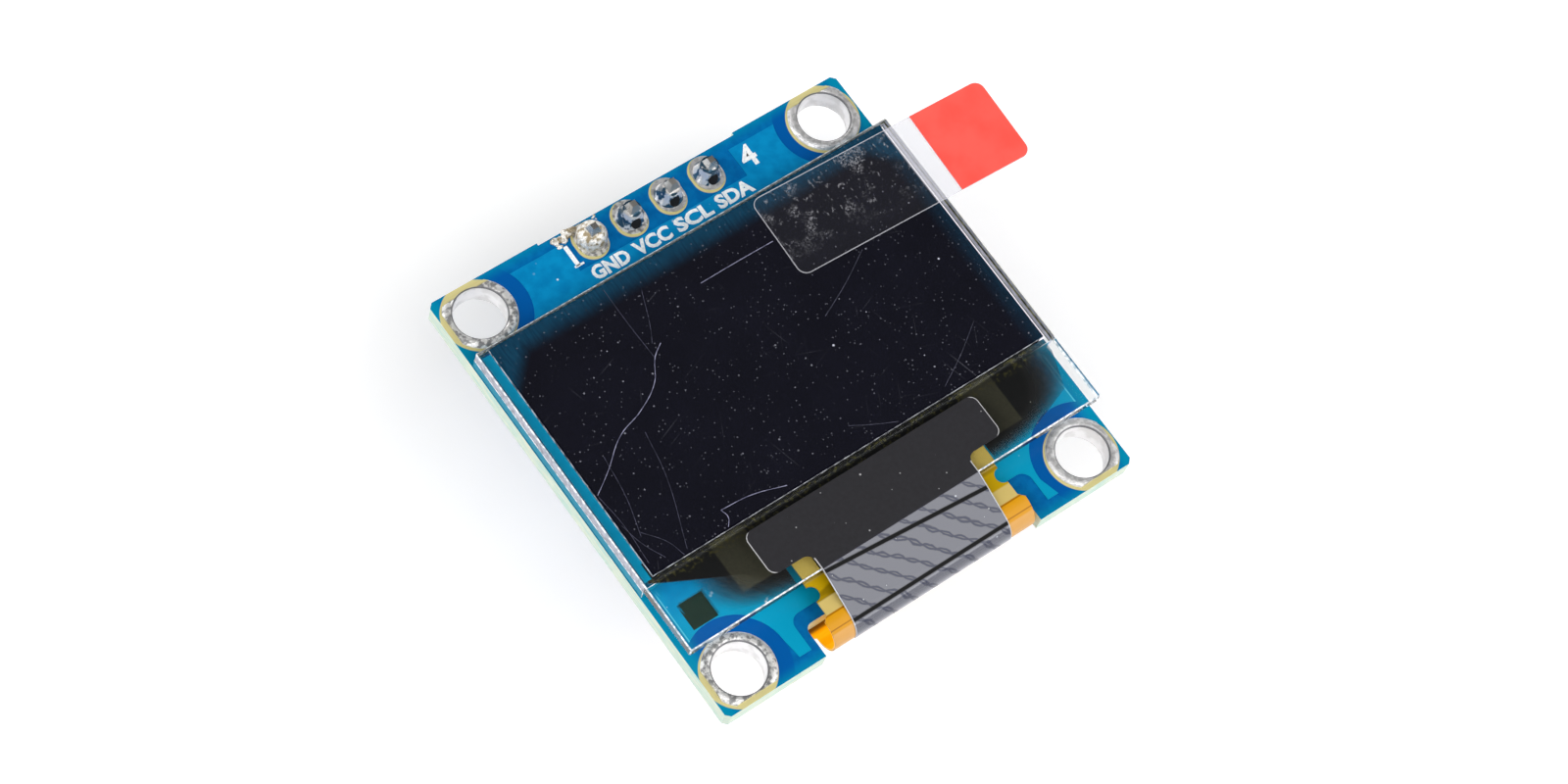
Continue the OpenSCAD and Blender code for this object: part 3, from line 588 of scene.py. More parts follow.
chips = [(node, "R" + node[-1]) for node in numbered("resistor", 1, 8)]
chips += [(node, "C" + node[-1]) for node in numbered("capacitor", 1, 7)]
chip_half, chip_wide_half, chip_gap = 1.8, 1.0, 0.45
mark_h, row_mark_y, link_mark_x = 1.1, -3.0, -2.6
link_half, link_gap = 0.95, 1.0
spare_land = {"resistor_3": -1.7, "resistor_4": 1.7}
bm = bmesh.new()
for node, mark in chips:
    x, y = rear_middle(node)
    if not lies_across(node):
        frame_x = (x - chip_wide_half, x + chip_wide_half)
        add_frame(bm, frame_x, (y - chip_half, y + chip_half), chip_gap)
        add_text(bm, mark, (x, row_mark_y), (1.7, mark_h), turn=90)
        continue
    frame_y = (y - chip_wide_half, y + chip_wide_half)
    if node in spare_land:
        ends = sorted((x, x + spare_land[node]))
        add_frame(bm, (ends[0] - link_half, ends[1] + link_half), frame_y, link_gap)
        add_text(bm, mark, (link_mark_x, y), (1.7, mark_h))
    else:
        add_frame(bm, (x - chip_half, x + chip_half), frame_y, chip_gap)
        add_text(bm, mark, (x - 3.2 if x < 0 else x + 2.9, y), (1.6, mark_h))
x, y = rear_middle("diode_body")
diode_y = (y - 0.95, y + 0.95)
add_frame(bm, (x - 1.9, x + 2.1), diode_y, 0.5)
add_bar(bm, (x - 2.95, x - 1.6), diode_y)
add_text(bm, "D1", (x + 3.1, y), (1.3, mark_h))
x, y = rear_middle("regulator_body")
corner_x, corner_y, corner_l = x - 1.3, 1.6, 0.65
for foot in (y - corner_y, y + corner_y - line_w):
    add_bar(bm, (corner_x, x), (foot, foot + line_w))
for foot in (y - corner_y, y + corner_y - corner_l):
    add_bar(bm, (corner_x, corner_x + line_w), (foot, foot + corner_l))
add_text(bm, "U1", (x - 3.3, y - 0.8), (1.4, mark_h))
tail_edge = -box_mm("flex_cable")[0].x + 0.12
bracket_low, bracket_top = -9.0, -5.7
add_bar(bm, (tail_edge, tail_edge + line_w), (bracket_low, bracket_top))
add_bar(bm, (tail_edge - 0.4, tail_edge), (bracket_top - line_w, bracket_top))
add_piece("rear_print", bm, ink)


# Mounting eyelets and lands: copper plated onto the board and tinned by dipping, so the tin
# stands on each ring as an uneven rounded bead. The bead is cut back where the board ends, more
# so at the top, where tan laminate shows instead. A dark line round the lip of each bore is
# painted shade, and the rings on the right are painted darker against the lamp light from there.

ring_r, bore_r = 2.0, 1.46
ring_setback, top_setback = 0.3, 0.5
plating_t = 0.05
bore_lip_shade = (0.16, 0.16, 0.17, 1)
dull_spread = (0.42, 0.62)

tin = Finish("dipped_tin", 0.27, 0.03, Metallic=0.65)
# Painted shade: the rings on the right are painted darker, with fewer dull patches.
to_right = tin.x.ramp(-1.0, 1.0)
patches = tin.tone.ramp(*dull_spread) * (1.0 - to_right * 0.5)
bright = to_right.mix((0.9, 0.89, 0.87, 1), (0.76, 0.75, 0.75, 1))
# Painted shade: a dark line round the lip of the bore.
shaded_bore_lip = from_corner_hole(tin.place).ramp(bore_r + 0.11, bore_r + 0.04)
tin.feed("Base Color", bright.coated((patches, (0.26, 0.26, 0.26, 1)), (shaded_bore_lip, bore_lip_shade)))
tin.feed("Roughness", patches * 0.2 + 0.28)
tin.dress("header_eyelets", "rear_lands")

plating = Finish("plated_barrel", 0.8, 0.004)
to_hole = from_corner_hole(plating.place)
tan_end = plating.y.above(board_high.y - top_setback, 0.02) * to_hole.above(bore_r + 0.1, 0.02)
# Painted shade: a dark line round the lip of the bore.
shaded_bore_lip = to_hole.between(bore_r + 0.02, bore_r + 0.1, 0.01)
colour = plating.tone.ramp(*dull_spread).mix((0.93, 0.92, 0.93, 1), (0.76, 0.75, 0.75, 1))
plating.feed("Base Color", colour.coated((shaded_bore_lip, bore_lip_shade), (tan_end, bare_laminate)))
plating.feed("Metallic", 0.4 - tan_end * 0.4)
plating.feed("Roughness", tan_end * 0.2 + 0.36)
plating.dress(*numbered("mounting_eyelet", 1, 4))

bead_h, bead_steps = 0.13, 72
bead_section = [
    (bore_r, plating_t - 0.02), (bore_r + 0.02, plating_t + 0.6 * bead_h),
    (bore_r + 0.1, plating_t + bead_h), (1.72, plating_t + 1.05 * bead_h),
    (ring_r - 0.1, plating_t + 0.6 * bead_h), (ring_r, plating_t - 0.02),
]


def add_bead(bm, x, y, face):
    """Adds the tin bead on one ring: a spun section, made uneven and cut back from the edges."""
    bead = bmesh.new()
    verts = [bead.verts.new((x + r, y, z)) for r, z in bead_section]
    edges = [bead.edges.new(pair) for pair in zip(verts, verts[1:] + verts[:1])]
    bmesh.ops.spin(bead, geom=verts + edges, cent=(x, y, 0), axis=(0, 0, 1),
                   angle=math.tau, steps=bead_steps, use_merge=True)
    for vert in bead.verts:
        if vert.co.z > plating_t:
            swell = noise.noise(vert.co * 1.7) * 0.35 + noise.noise(vert.co * 5.0) * 0.2
            vert.co.z += (vert.co.z - plating_t) * swell
    y_setback = top_setback if y > 0 else ring_setback
    cuts = [
        (board_high.x - ring_setback, Vector((math.copysign(1, x), 0, 0))),
        (board_high.y - y_setback, Vector((0, math.copysign(1, y), 0))),
    ]
    for limit, normal in cuts:
        everything = bead.verts[:] + bead.edges[:] + bead.faces[:]
        bmesh.ops.bisect_plane(bead, geom=everything, plane_co=normal * limit, plane_no=normal,
                               clear_outer=True)
        rim = [e for e in bead.edges if e.is_boundary]
        bmesh.ops.holes_fill(bead, edges=rim, sides=0)
    add_mesh(bm, new_mesh("bead", bead), face)


for face_name, face in (("front", Matrix()), ("rear", REAR)):
    bm = bmesh.new()
    for x in (-hole_x, hole_x):
        for y in (-hole_y, hole_y):
            add_bead(bm, x, y, face)
    add_piece(f"eyelet_tin_{face_name}", bm, tin, 40)


# Chip resistors and capacitors: pressed ceramic with dipped metal caps at both ends, soldered to
# their lands. A resistor is black glaze on white ceramic with its value on top, a capacitor is
# bare ceramic, tan, brown or beige.

cap_l, chip_w, chip_step = 0.3, 0.8, 0.02
fillet_l, fillet_drop, fillet_steps, fillet_draft = 0.6, 0.2, 6, 0.12


def chip_axes(node):
    """Place of a chip on the rear: its middle on its lands, with x along the chip, and its sizes."""
    low, high = box_mm(node)
    turn = 0 if lies_across(node) else math.pi / 2
    length = max(high.x - low.x, high.y - low.y)
    place = REAR @ Matrix.Translation((*rear_middle(node), plating_t))
    return place @ Matrix.Rotation(turn, 4, "Z"), length, high.z - low.z + 2 * chip_step


def add_block(bm, low, high, edge_r, place=Matrix(), segments=2):
    """Adds a block with rounded edges between two corners."""
    centre = [(a + b) / 2 for a, b in zip(low, high)]
    size = [b - a for a, b in zip(low, high)]
    matrix = place @ Matrix.Translation(centre) @ Matrix.Diagonal((*size, 1))
    verts = bmesh.ops.create_cube(bm, size=1, matrix=matrix)["verts"]
    edges = list({edge for vert in verts for edge in vert.link_edges})
    bmesh.ops.bevel(bm, geom=edges, offset=edge_r, offset_type="OFFSET", segments=segments,
                    profile=0.5, affect="EDGES", material=-1)


def add_fillet(bm, place, length, height, width):
    """Adds solder that climbs a face: a hollow slope, rounded along its sides."""
    climb = [k / fillet_steps for k in range(fillet_steps + 1)]
    slope = [(length * (1 - share), height * share ** 2 + 0.03) for share in climb]
    outline = [(0, 0), (length, 0)] + slope
    near = [bm.verts.new(place @ Vector((x, -width / 2, z))) for x, z in outline]
    made = bmesh.ops.extrude_face_region(bm, geom=[bm.faces.new(near)])["geom"]
    far = [v for v in made if isinstance(v, bmesh.types.BMVert)]
    across = place.to_3x3() @ Vector((0, width, 0))
    bmesh.ops.translate(bm, verts=far, vec=across)
    for row, inward in ((near, across * fillet_draft), (far, across * -fillet_draft)):
        middle = sum((v.co for v in row), Vector()) / len(row)
        for vert in row:
            vert.co += inward * min((vert.co - middle).length / length, 1.0)


def metal_finish(name, bright, dull, grain, depth, roughness, metallic=1.0):
    """Tin or solder: bright metal with dull patches and an uneven skin."""
    finish = Finish(name, grain, depth, Metallic=metallic)
    patches = finish.tone.ramp(*dull_spread)
    finish.feed("Base Color", patches.mix((*bright, 1), (*dull, 1)))
    finish.feed("Roughness", patches * 0.2 + roughness)
    return finish


solder = metal_finish("reflowed_solder", (0.9, 0.89, 0.87), (0.6, 0.59, 0.57), 0.3, 0.03, 0.16)
cap_tin = metal_finish("chip_cap_tin", (0.82, 0.82, 0.81), (0.62, 0.62, 0.61), 0.15, 0.01, 0.28)
caps = bmesh.new()
fillets = bmesh.new()
for node, mark in chips:
    place, length, height = chip_axes(node)
    tip = length / 2 + cap_l
    for turn in (0, math.pi):
        end = place @ Matrix.Rotation(turn, 4, "Z")
        add_block(caps, (length / 2, -chip_w / 2, 0), (tip, chip_w / 2, height), 0.06, end)
        toe = end @ Matrix.Translation((tip, 0, 0))
        add_fillet(fillets, toe, fillet_l, height - fillet_drop, chip_w)
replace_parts(add_piece("chip_end_caps", caps, cap_tin, 50), "chip_terminals")
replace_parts(add_piece("chip_solder_fillets", fillets, solder, 60), "chip_solder")
solder.dress("lead_solder", "link_solder")

glaze = Finish("resistor_glaze", 0.1, 0.008, Roughness=0.35)
glazed_top = glaze.z.below(box_mm("resistor_1")[0].z + 0.05, 0.01)
black = glaze.tones((24, 24, 27), (44, 44, 48))
glaze.feed("Base Color", glazed_top.mix(paint(226, 224, 218), black))
glaze.dress(*numbered("resistor", 1, 8))

value_marks = ["472", "472", "0", "0", "914", "101", "101", "103"]
digit_w, digit_h, digit_t = 0.26, 0.42, 0.008
bm = bmesh.new()
for node, value in zip(numbered("resistor", 1, 8), value_marks):
    place, length, height = chip_axes(node)
    top = height - chip_step
    add_text(bm, value, (0, 0), (digit_w * len(value), digit_h), weight=0.0,
             heights=(top, top + digit_t), face=place)
add_piece("resistor_values", bm, ink)

for name, pale, dark, first, last in (
    ("tan_ceramic", (206, 158, 112), (188, 138, 92), 1, 2),
    ("brown_ceramic", (176, 112, 76), (156, 94, 62), 3, 4),
    ("beige_ceramic", (224, 204, 160), (204, 180, 132), 5, 7),
):
    ceramic = toned_finish(name, pale, dark, 0.2, 0.01, spread=(), Roughness=0.5)
    ceramic.dress(*numbered("capacitor", first, last))


# Regulator and diode: black epoxy moulded round bent tinned leads, which stand on the board's
# lands and are soldered there by their feet.

moulding = toned_finish("black_moulding", (24, 24, 26), (46, 46, 49), 0.12, 0.012, Roughness=0.55)
moulding.dress("regulator_body", "diode_body")
cap_tin.dress("regulator_leads", "diode_leads")


# Adhesive pad and rear glass: the panel stands on a white foam pad. The rear sheet is the lid of
# the display, cut from float glass. The blue of the board that shows through its sides is painted
# on them, and the right one, which faces the light, is painted pale lilac and glows a little, as
# painted light.

foam = toned_finish("white_foam", (214, 212, 204), (236, 234, 228), 0.15, 0.02, Roughness=0.8)
foam.dress("panel_pad")

# Clear glass that lets lamp light through to what lies behind it.
glass_tint = (0.97, 0.99, 0.99, 1)
polished = Finish("polished_glass", 3.0, Base_Color=glass_tint, IOR=1.5, Transmission_Weight=1.0)
polished.feed("Roughness", polished.tone.ramp(0.55, 0.8) * 0.06)
polished.show("MixShader", {
    0: polished.node("LightPath")["Is Shadow Ray"],
    1: polished.surface,
    2: polished.node("BsdfTransparent", {"Color": glass_tint}),
})

rear_low, rear_high = box_mm("rear_glass")
ground = Finish("ground_glass_corner", 0.25, 0.02, Roughness=0.3)
white_corner = ground.tones((168, 182, 192), (250, 252, 255), 0.4, 0.6)
olive_corner = ground.tones((58, 60, 44), (142, 140, 92), 0.4, 0.6)
brassy_corner = ground.tones((116, 112, 78), (212, 220, 216), 0.4, 0.6)
right_edge = ground.x.above(rear_high.x - 0.08, 0.02) * ground.y.above(rear_low.y, 0.1)
top_edge = ground.y.above(rear_high.y - 0.08, 0.02)
ground.feed("Base Color", white_corner.coated((right_edge, olive_corner), (top_edge, brassy_corner)))


def add_sheet(name, node, arris, side_finish, side_end):
    """A glass sheet in a node's place: polished, with ground corners, and sides of their own
    finish down to side_end."""
    low, high = box_mm(node)
    bm = bmesh.new()
    add_block(bm, low, high, arris, segments=1)
    everything = bm.verts[:] + bm.edges[:] + bm.faces[:]
    bmesh.ops.bisect_plane(bm, geom=everything, plane_co=(0, side_end, 0), plane_no=(0, 1, 0))
    sheet = add_piece(name, bm, polished)
    sheet.data.materials.append(side_finish.material)
    sheet.data.materials.append(ground.material)
    for face in sheet.data.polygons:
        steep = [abs(part) for part in face.normal]
        is_side = steep[2] < 0.01 and face.center.y / MM > side_end
        face.material_index = 2 if max(steep) < 0.99 else 1 if is_side else 0
    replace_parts(sheet, node)


# Painted light: the board's blue on the sides, and a glowing pale lilac on the right side.
blue_painted_light = Finish("blue_lit_glass_side", 0.8, 0.004, Roughness=0.5, Specular_IOR_Level=0.15,
                  Emission_Strength=0.35)
to_right = blue_painted_light.x.above(rear_high.x - 0.2, 0.1)
blue = blue_painted_light.tones((0, 128, 158), (8, 146, 176))
lilac = blue_painted_light.tones((186, 180, 194), (226, 221, 230), 0.4, 0.6)
blue_painted_light.feed("Base Color", to_right.mix(blue, lilac))
blue_painted_light.feed("Emission Color", to_right.mix(paint(0, 0, 0), lilac))
add_sheet("rear_glass_sheet", "rear_glass", 0.03, blue_painted_light, rear_low.y - 1)


# Inside the panel: a desiccant sheet in the lid's pocket, the resin seal round the rim, and the
# emitter layers on the underside of the front glass, which look near black when switched off.

desiccant = toned_finish("desiccant_sheet", (208, 208, 202), (226, 226, 220), 0.4, 0.02, Roughness=0.9)
desiccant.dress("desiccant_sheet")

# Painted light: the seal is painted with the board's blue seen through it, near white on its right side,
# and glows a little. Painted shade: near black along its foot.
seal = Finish("seal_resin", 0.8, 0.01, Roughness=0.25, Emission_Strength=0.3)
shaded_foot = seal.y.below(rear_low.y + 1.25, 0.05) * abs(seal.x).below(rear_high.x - 0.7, 0.05)
to_right = seal.x.ramp(rear_high.x - 0.75, rear_high.x - 0.7)
lit_side = to_right.mix(seal.tones((0, 146, 178), (22, 164, 194)), paint(244, 238, 244))
seal.feed("Base Color", shaded_foot.mix(lit_side, paint(14, 14, 12)))
seal.feed("Emission Color", shaded_foot.mix(lit_side, paint(0, 0, 0)))
seal.dress("seal_bead")

emitter = toned_finish("emitter_layers", (10, 10, 15), (20, 20, 28), 2.0, 0.002, Roughness=0.25)
emitter.dress("emitter_layers")


# Front glass with its ledge: the sheet that carries the display, with polished faces and ground
# corners that catch the light as thin white lines. Its sides are frosted along the sealed part
# and clear along the ledge; the frosted part is pale lilac and glows a little, as painted light.

# Painted light: a pale lilac glow on the frosted sides.
frosted = toned_finish("frosted_glass_side", (126, 126, 138), (176, 178, 192), 0.25, 0.03, Roughness=0.5,
                       Emission_Color=paint(196, 198, 212), Emission_Strength=0.16)
add_sheet("front_glass_sheet", "front_glass", 0.07, frosted, rear_low.y)


# Routing film and driver chip: dark metal tracks printed under the ledge, from the picture area to
# the bare silicon chip that is bonded there and on to the flex tail. The film's dark area fades out
# towards the ledge's corners; the fade is painted shadow, the shadow the film casts on the board.

tracks = Finish("dark_routing_film", 0.5, Roughness=0.4)
aside = abs(tracks.x)
bundle = aside.between(7.0, 9.1, 0.06) * tracks.y.between(-8.7, -5.0, 0.06)
olive = tracks.height.mix(paint(48, 46, 35), paint(68, 65, 50))
gilt = tracks.place.noise(5.0).ramp(0.5, 0.66) * tracks.y.above(-6.3, 0.2)
dust = specks(tracks, 0.4, 0.08, 0.22)
tracks.feed("Base Color", tracks.tones((9, 9, 10), (18, 17, 17)).coated(
    (bundle, olive), (gilt, paint(74, 70, 36)), (dust, paint(150, 150, 142)),
))

# The dark area is a bowl with its own half width, depth, squareness and fade on each side; the
# fade is painted shadow.
to_right = tracks.calc("GREATER_THAN", tracks.x, 0.0)
left_bowl, right_bowl = (10.4, 4.1, 4.0, 1.09, 0.8), (13.0, 3.95, 3.7, 1.05, 0.8)
half_w, bowl_h, power, clear_from, dark_to = [
    to_right * (right - left) + left for left, right in zip(left_bowl, right_bowl)
]
reach_x = aside / half_w
reach_y = abs(tracks.y - rear_low.y) / bowl_h
radius = (reach_x ** power + reach_y ** power) ** (1.0 / power)
wing = (tracks.x * 0.504 + tracks.y).above(-12.24, 0.06) * (1.0 - to_right)
bowl = radius.ramp(clear_from, dark_to) | wing
bond_window = aside.between(5.0, 6.5, 0.03) * tracks.y.below(-8.55, 0.05)
tracks.feed("Alpha", bowl * (1.0 - bond_window))
tracks.dress("routing_film")

# The tracks go on between the seal and the glass to the picture area.
glass_low = box_mm("front_glass")[0]
film_half, over_seal = 12.9, 1.2
bm = bmesh.new()
add_bar(bm, (-film_half, film_half), (rear_low.y, rear_low.y + over_seal),
        (glass_low.z - 0.004, glass_low.z - 0.001), Matrix())
add_piece("tracks_over_seal", bm, tracks)

silicon = toned_finish("polished_silicon", (58, 58, 66), (82, 82, 92), 0.3, 0.003, (),
                       Roughness=0.2, Metallic=0.4)
silicon.dress("driver_chip")


# Polariser: a dark plastic film laminated onto the front glass. Over the emitter it looks near
# black. Along its rim the blue of the board seen through it is painted on in teal, as painted
# light, and its cut sides are painted pale, as a patchy painted highlight.

low, high = box_mm("polariser")
lit_high = box_mm("emitter_layers")[1]
polariser = Finish("dark_polariser", 2.5, Roughness=0.09, Specular_IOR_Level=0.07)
# Painted light: the teal rim.
from_side = polariser.x.ramp(lit_high.x - 0.1, lit_high.x + 1.1) * 0.4
from_top = polariser.y.above(lit_high.y, 0.6)
corner = lit_high.x + lit_high.y
from_corner = (abs(polariser.x) + polariser.y).ramp(corner - 1.3, corner + 0.1)
drawn = polariser.place.streaks((9, 0.8, 1), 2.0).ramp(0.3, 0.7)
teal = drawn.mix(paint(6, 46, 68), paint(14, 60, 84))
# Painted highlight: the pale, patchy cut sides.
cut = polariser.z.between(low.z + 0.01, high.z - 0.01, 0.004)
patchy_highlight = polariser.place.noise(3.0).ramp(0.38, 0.6)
cut_colour = patchy_highlight.mix(paint(96, 98, 106), paint(214, 218, 226))
polariser.feed("Base Color", polariser.tones((7, 7, 15), (16, 16, 27)).coated(
    (from_side | from_top | from_corner, teal), (cut, cut_colour),
))
polariser.dress("polariser")


# Protective film: a clear peel-off film on the polariser, handled a lot, with hairlines, dust and a
# few deep scratches.

film_high = box_mm("protective_film")[1]
film = Finish("clear_film", Base_Color=paint(214, 216, 232), Roughness=0.35)
dust = specks(film, 0.5, 0.075, 0.5) * 0.26 | specks(film, 0.22, 0.06, 0.8) * 0.14
grit = specks(film, 1.3, 0.11, 0.28) * 0.85
hairs = sum(
    film.place.turned(turn).streaks((0.22, 7.0, 1.0), 1.0).ramp(0.72, 0.8)
    for turn in (20, 75, 118, 160)
)
handled = film.place.noise(0.35).ramp(0.42, 0.7) * 0.07
film.feed("Alpha", (dust | grit) + hairs * handled + 0.006)
film.dress("protective_film")


def add_scratch(bm, points, width):
    """Adds a thin raised line along a smooth curve on the film."""
    curve = bpy.data.curves.new("scratch", "CURVE")
    curve.dimensions = "3D"
    curve.resolution_u = 8
    curve.bevel_depth = width / 2
    curve.bevel_resolution = 0
    curve.use_fill_caps = True
    spline = curve.splines.new("BEZIER")
    spline.bezier_points.add(len(points) - 1)
    for point, (x, y) in zip(spline.bezier_points, points):
        point.co = (x, y, 0)
        point.handle_left_type = "AUTO"
        point.handle_right_type = "AUTO"
    flatten = Matrix.Translation((0, 0, film_high.z)) @ Matrix.Diagonal((1, 1, 0.25, 1))
    add_mesh(bm, curve_mesh(curve), flatten)


bright_scratches = [
    [(-4.9, 4.7), (-5.6, 4.2), (-6.5, 3.0), (-8.0, 2.1), (-9.7, 1.5), (-11.4, 0.2), (-12.6, -0.6)],
    [(-1.1, 6.4), (1.3, 6.42), (3.6, 6.4)],
    [(-7.9, -5.55), (-7.6, -5.1), (-7.7, -4.6)],
    [(-7.7, -4.6), (-5.9, -4.75), (-4.0, -5.3)],
]
faint_scratches = [
    [(-5.7, 8.75), (-5.72, 6.5), (-5.65, 4.1)],
    [(3.4, 1.4), (5.4, 2.35), (7.4, 3.5)],
    [(0.7, -4.3), (2.0, -5.0), (3.1, -5.5)],
    [(6.4, -5.2), (8.2, -4.2), (10.0, -3.0)],
    [(-12.5, -2.6), (-12.2, -3.9), (-11.6, -5.2)],
    [(-11.1, 1.0), (-11.4, -1.4), (-12.0, -3.6)],
    [(-12.6, -0.7), (-12.4, -2.6), (-12.5, -5.0)],
    [(-8.5, 1.0), (-9.0, -1.6), (-10.4, -5.4)],
    [(-11.9, -3.4), (-11.0, -4.6), (-10.7, -5.6)],
    [(-4.0, 7.7), (-4.9, 5.6), (-5.3, 4.9)],
]
scratch = toned_finish("scratched_film", (96, 96, 124), (176, 176, 208), 0.4, 0.01, Roughness=0.4)
faint = toned_finish("faint_scratch", (40, 42, 56), (86, 86, 108), 0.4, 0.01, Roughness=0.4)
for name, scratches, width, finish in (
    ("film_scratches", bright_scratches, 0.032, scratch),
    ("film_hairlines", faint_scratches, 0.024, faint),
):
    bm = bmesh.new()
    for points in scratches:
        add_scratch(bm, points, width)
    add_piece(name, bm, finish)


# Pull tab: clear tape stuck across the film's corner by hand, with air trapped under it, and a
# coral grip on its free end.

tape_start, tape_turn, tape_w, tape_r = (3.82, 6.4, 0), 1.9, 5.05, 0.55
tape = Finish("clear_tape", Base_Color=paint(232, 232, 240), Roughness=0.15, Specular_IOR_Level=0.2)
on_film = tape.x.below(film_high.x, 0.05)
froth = tape.place.noise(9.0, 2.0).ramp(0.46, 0.66)
clouds = tape.place.noise(0.8, 4.0).ramp(0.53, 0.66)
drawn = tape.place.vector("MULTIPLY", (1, 0.55, 1))
creep = abs(drawn.noise(1.5, 2.0) - 0.5).ramp(0.03, 0.008)
broken = tape.place.noise(3.0, 2.0).ramp(0.54, 0.68)
along, across = tape.place.vector("SUBTRACT", tape_start).turned(tape_turn).split()[:2]
bubbles = (froth * clouds | creep * broken) * on_film * across.ramp(-1.9, 0.1)
past_side = abs(across) - (tape_w / 2 - tape_r) | 0.0
past_end = tape_r - along | 0.0
# Painted highlight: the tape's cut edge shows as a pale line.
cut = reach(past_side, past_end).ramp(tape_r - 0.05, tape_r - 0.02)
clear = bubbles * 0.2 + (1.0 - on_film) * 0.28 + 0.006
tape.feed("Alpha", clear | cut * 0.5)
tape.dress("pull_tape")

coral = toned_finish("coral_film", (252, 88, 78), (255, 98, 88), 1.6, 0.004, Roughness=0.4,
                     Specular_IOR_Level=0.12)
coral.dress("pull_grip")


# Flex tail: polyimide film with copper traces under an amber cover film. The cover stops at the
# bare leads, which are tinned and soldered to the board's rear lands. Round the fold it is painted
# in light and dark bands, as painted reflections; under the glass it is painted a duller olive, as
# painted shade; and its inner face glows, as painted light.

flex = Finish("amber_polyimide", 0.8, 0.006, Roughness=0.3, Specular_IOR_Level=0.2,
              Emission_Strength=1.0)
drawn = flex.place.streaks((0.15, 1.6, 1.6), 2.0)
amber = drawn.ramp(0.4, 0.6).mix(paint(214, 146, 4), paint(240, 176, 34))
ochre = drawn.ramp(0.44, 0.54).mix(paint(140, 112, 0), paint(188, 152, 4))
# Painted reflections: pale, amber and dark bands round the fold.
bends = flex.y.between(-12.06, -11.96, 0.02) | flex.y.between(-12.8, -12.74, 0.02)
bent = ochre.coated(
    (flex.y.below(-11.15, 0.05), paint(204, 180, 106)),
    (flex.y.below(-12.0, 0.04), paint(214, 150, 20)),
    (flex.y.below(-12.95, 0.05), paint(216, 162, 90)),
    (bends, paint(168, 106, 0)),
)
tail_start, seam_low, seam_high, cover_end = -11.8, -11.0, -10.88, -7.75
on_tail = flex.z.ramp(-1.0, -1.2)
# Painted shade: duller olive under the glass.
shaded_under_glass = flex.y.above(-10.0, 0.05) * flex.z.ramp(0.0, 0.5)
flex.feed("Base Color", amber.coated(
    (flex.z.ramp(-0.7, -0.4), bent),
    (on_tail * flex.y.above(tail_start, 0.1), flex.tones((118, 78, 6), (146, 98, 12))),
    (on_tail * flex.y.above(cover_end, 0.03), flex.tones((58, 52, 14), (80, 70, 22))),
    (on_tail * flex.y.between(seam_low, seam_high, 0.02), paint(232, 168, 40)),
    (shaded_under_glass, paint(176, 152, 74)),
))
# Painted light: the inner face of the fold glows.
fold_axis, fold_r = (0, -12.2, -0.17), 1.125
inside = flex.place.vector("MULTIPLY", (0, 1, 1)).distance(fold_axis).below(fold_r, 0.025)
flex.feed("Emission Color", inside.mix(paint(0, 0, 0), paint(190, 134, 0)))
flex.dress("flex_cable")

copper = toned_finish("covered_copper", (236, 146, 22), (255, 176, 52), 0.4, 0.006, (),
                      Roughness=0.3, Metallic=0.35)
copper.dress("flex_traces")

leads = metal_finish("tinned_leads", (0.74, 0.74, 0.74), (0.5, 0.5, 0.5), 0.3, 0.02, 0.3)
leads.dress("flex_solder")


# Light shield: black tape over the driver chip, which runs off the glass and round the fold. It is
# smooth enough to mirror the room where it bends; there it is also painted lighter grey, with
# slanting lines and two dark bands, as painted reflections.

shield = Finish("black_shield_tape", 0.25, Specular_IOR_Level=0.45, Coat_IOR=1.7, Coat_Roughness=0.16,
                Coat_Tint=(0.86, 0.9, 1, 1))
dust = specks(shield, 0.45, 0.08, 0.35)
# Painted reflection: lighter grey beyond the glass's edge.
beyond = shield.y.below(glass_low.y, 0.05)

# The slanting lines are rows of links, painted as a patterned reflection with a slight relief.
# They slant across the tape, which runs down round the fold.
chain_pitch, link_l, link_w = 0.9, 0.8, 0.085
slant_x, slant_down = 0.675, 0.737
down = shield.y * -0.85 + shield.z * -0.5
beside = shield.x * slant_x - down * slant_down
onward = shield.x * slant_down + down * slant_x
wander = shield.place.noise(0.8) * 0.5 + beside
from_chain = shield.calc("PINGPONG", wander, chain_pitch / 2)
swing = abs(shield.calc("SINE", onward * (math.pi / link_l)))
lines = abs(from_chain - swing * link_w).ramp(0.09, 0.025) * beyond

# Painted reflections: two dark bands across the fold.
first_dark_band = (shield.x * 0.07 + shield.y).between(-10.6, -10.38, 0.04)
dark_reflection_bands = first_dark_band | shield.y.between(-12.98, -12.78, 0.04)

# The cut edges of the wide part, which has round corners, and of the strip below it are painted
# pale, as a painted highlight.
shield_w, shield_low, shield_high, shield_r, strip_w = 15.0, -8.91, -6.26, 0.5, 10.2
past_side = abs(shield.x) - (shield_w / 2 - shield_r)
past_end = abs(shield.y - (shield_low + shield_high) / 2)
past_end = past_end - ((shield_high - shield_low) / 2 - shield_r) | 0.0
cut = reach(past_side, past_end).above(shield_r - 0.04, 0.01) * past_side.above(0.2, 0.1)
strip_edge_highlight = abs(shield.x).above(strip_w / 2 - 0.05, 0.01) * shield.y.below(shield_low - 0.35, 0.05)

shield.feed("Base Color", shield.tones((22, 21, 25), (37, 36, 41)).coated(
    (beyond, paint(64, 63, 74)), (lines, paint(26, 32, 60)), (dark_reflection_bands, paint(2, 2, 3)),
    (cut | strip_edge_highlight, paint(190, 190, 192)), (dust, paint(176, 176, 178)),
))
shield.feed("Roughness", dark_reflection_bands * 0.8 + (0.5 - beyond * 0.32))
shield.feed("Coat Weight", beyond * (1.0 - (lines * 0.75 | dark_reflection_bands)))
shield.bump(shield.height * 0.2 - lines, 0.006)
shield.dress("light_shield")


# Pin header: a black nylon strip of four cells with square tinned pins pressed through it, soldered
# from the display side. The first joint has too much solder and has spattered over the edge.

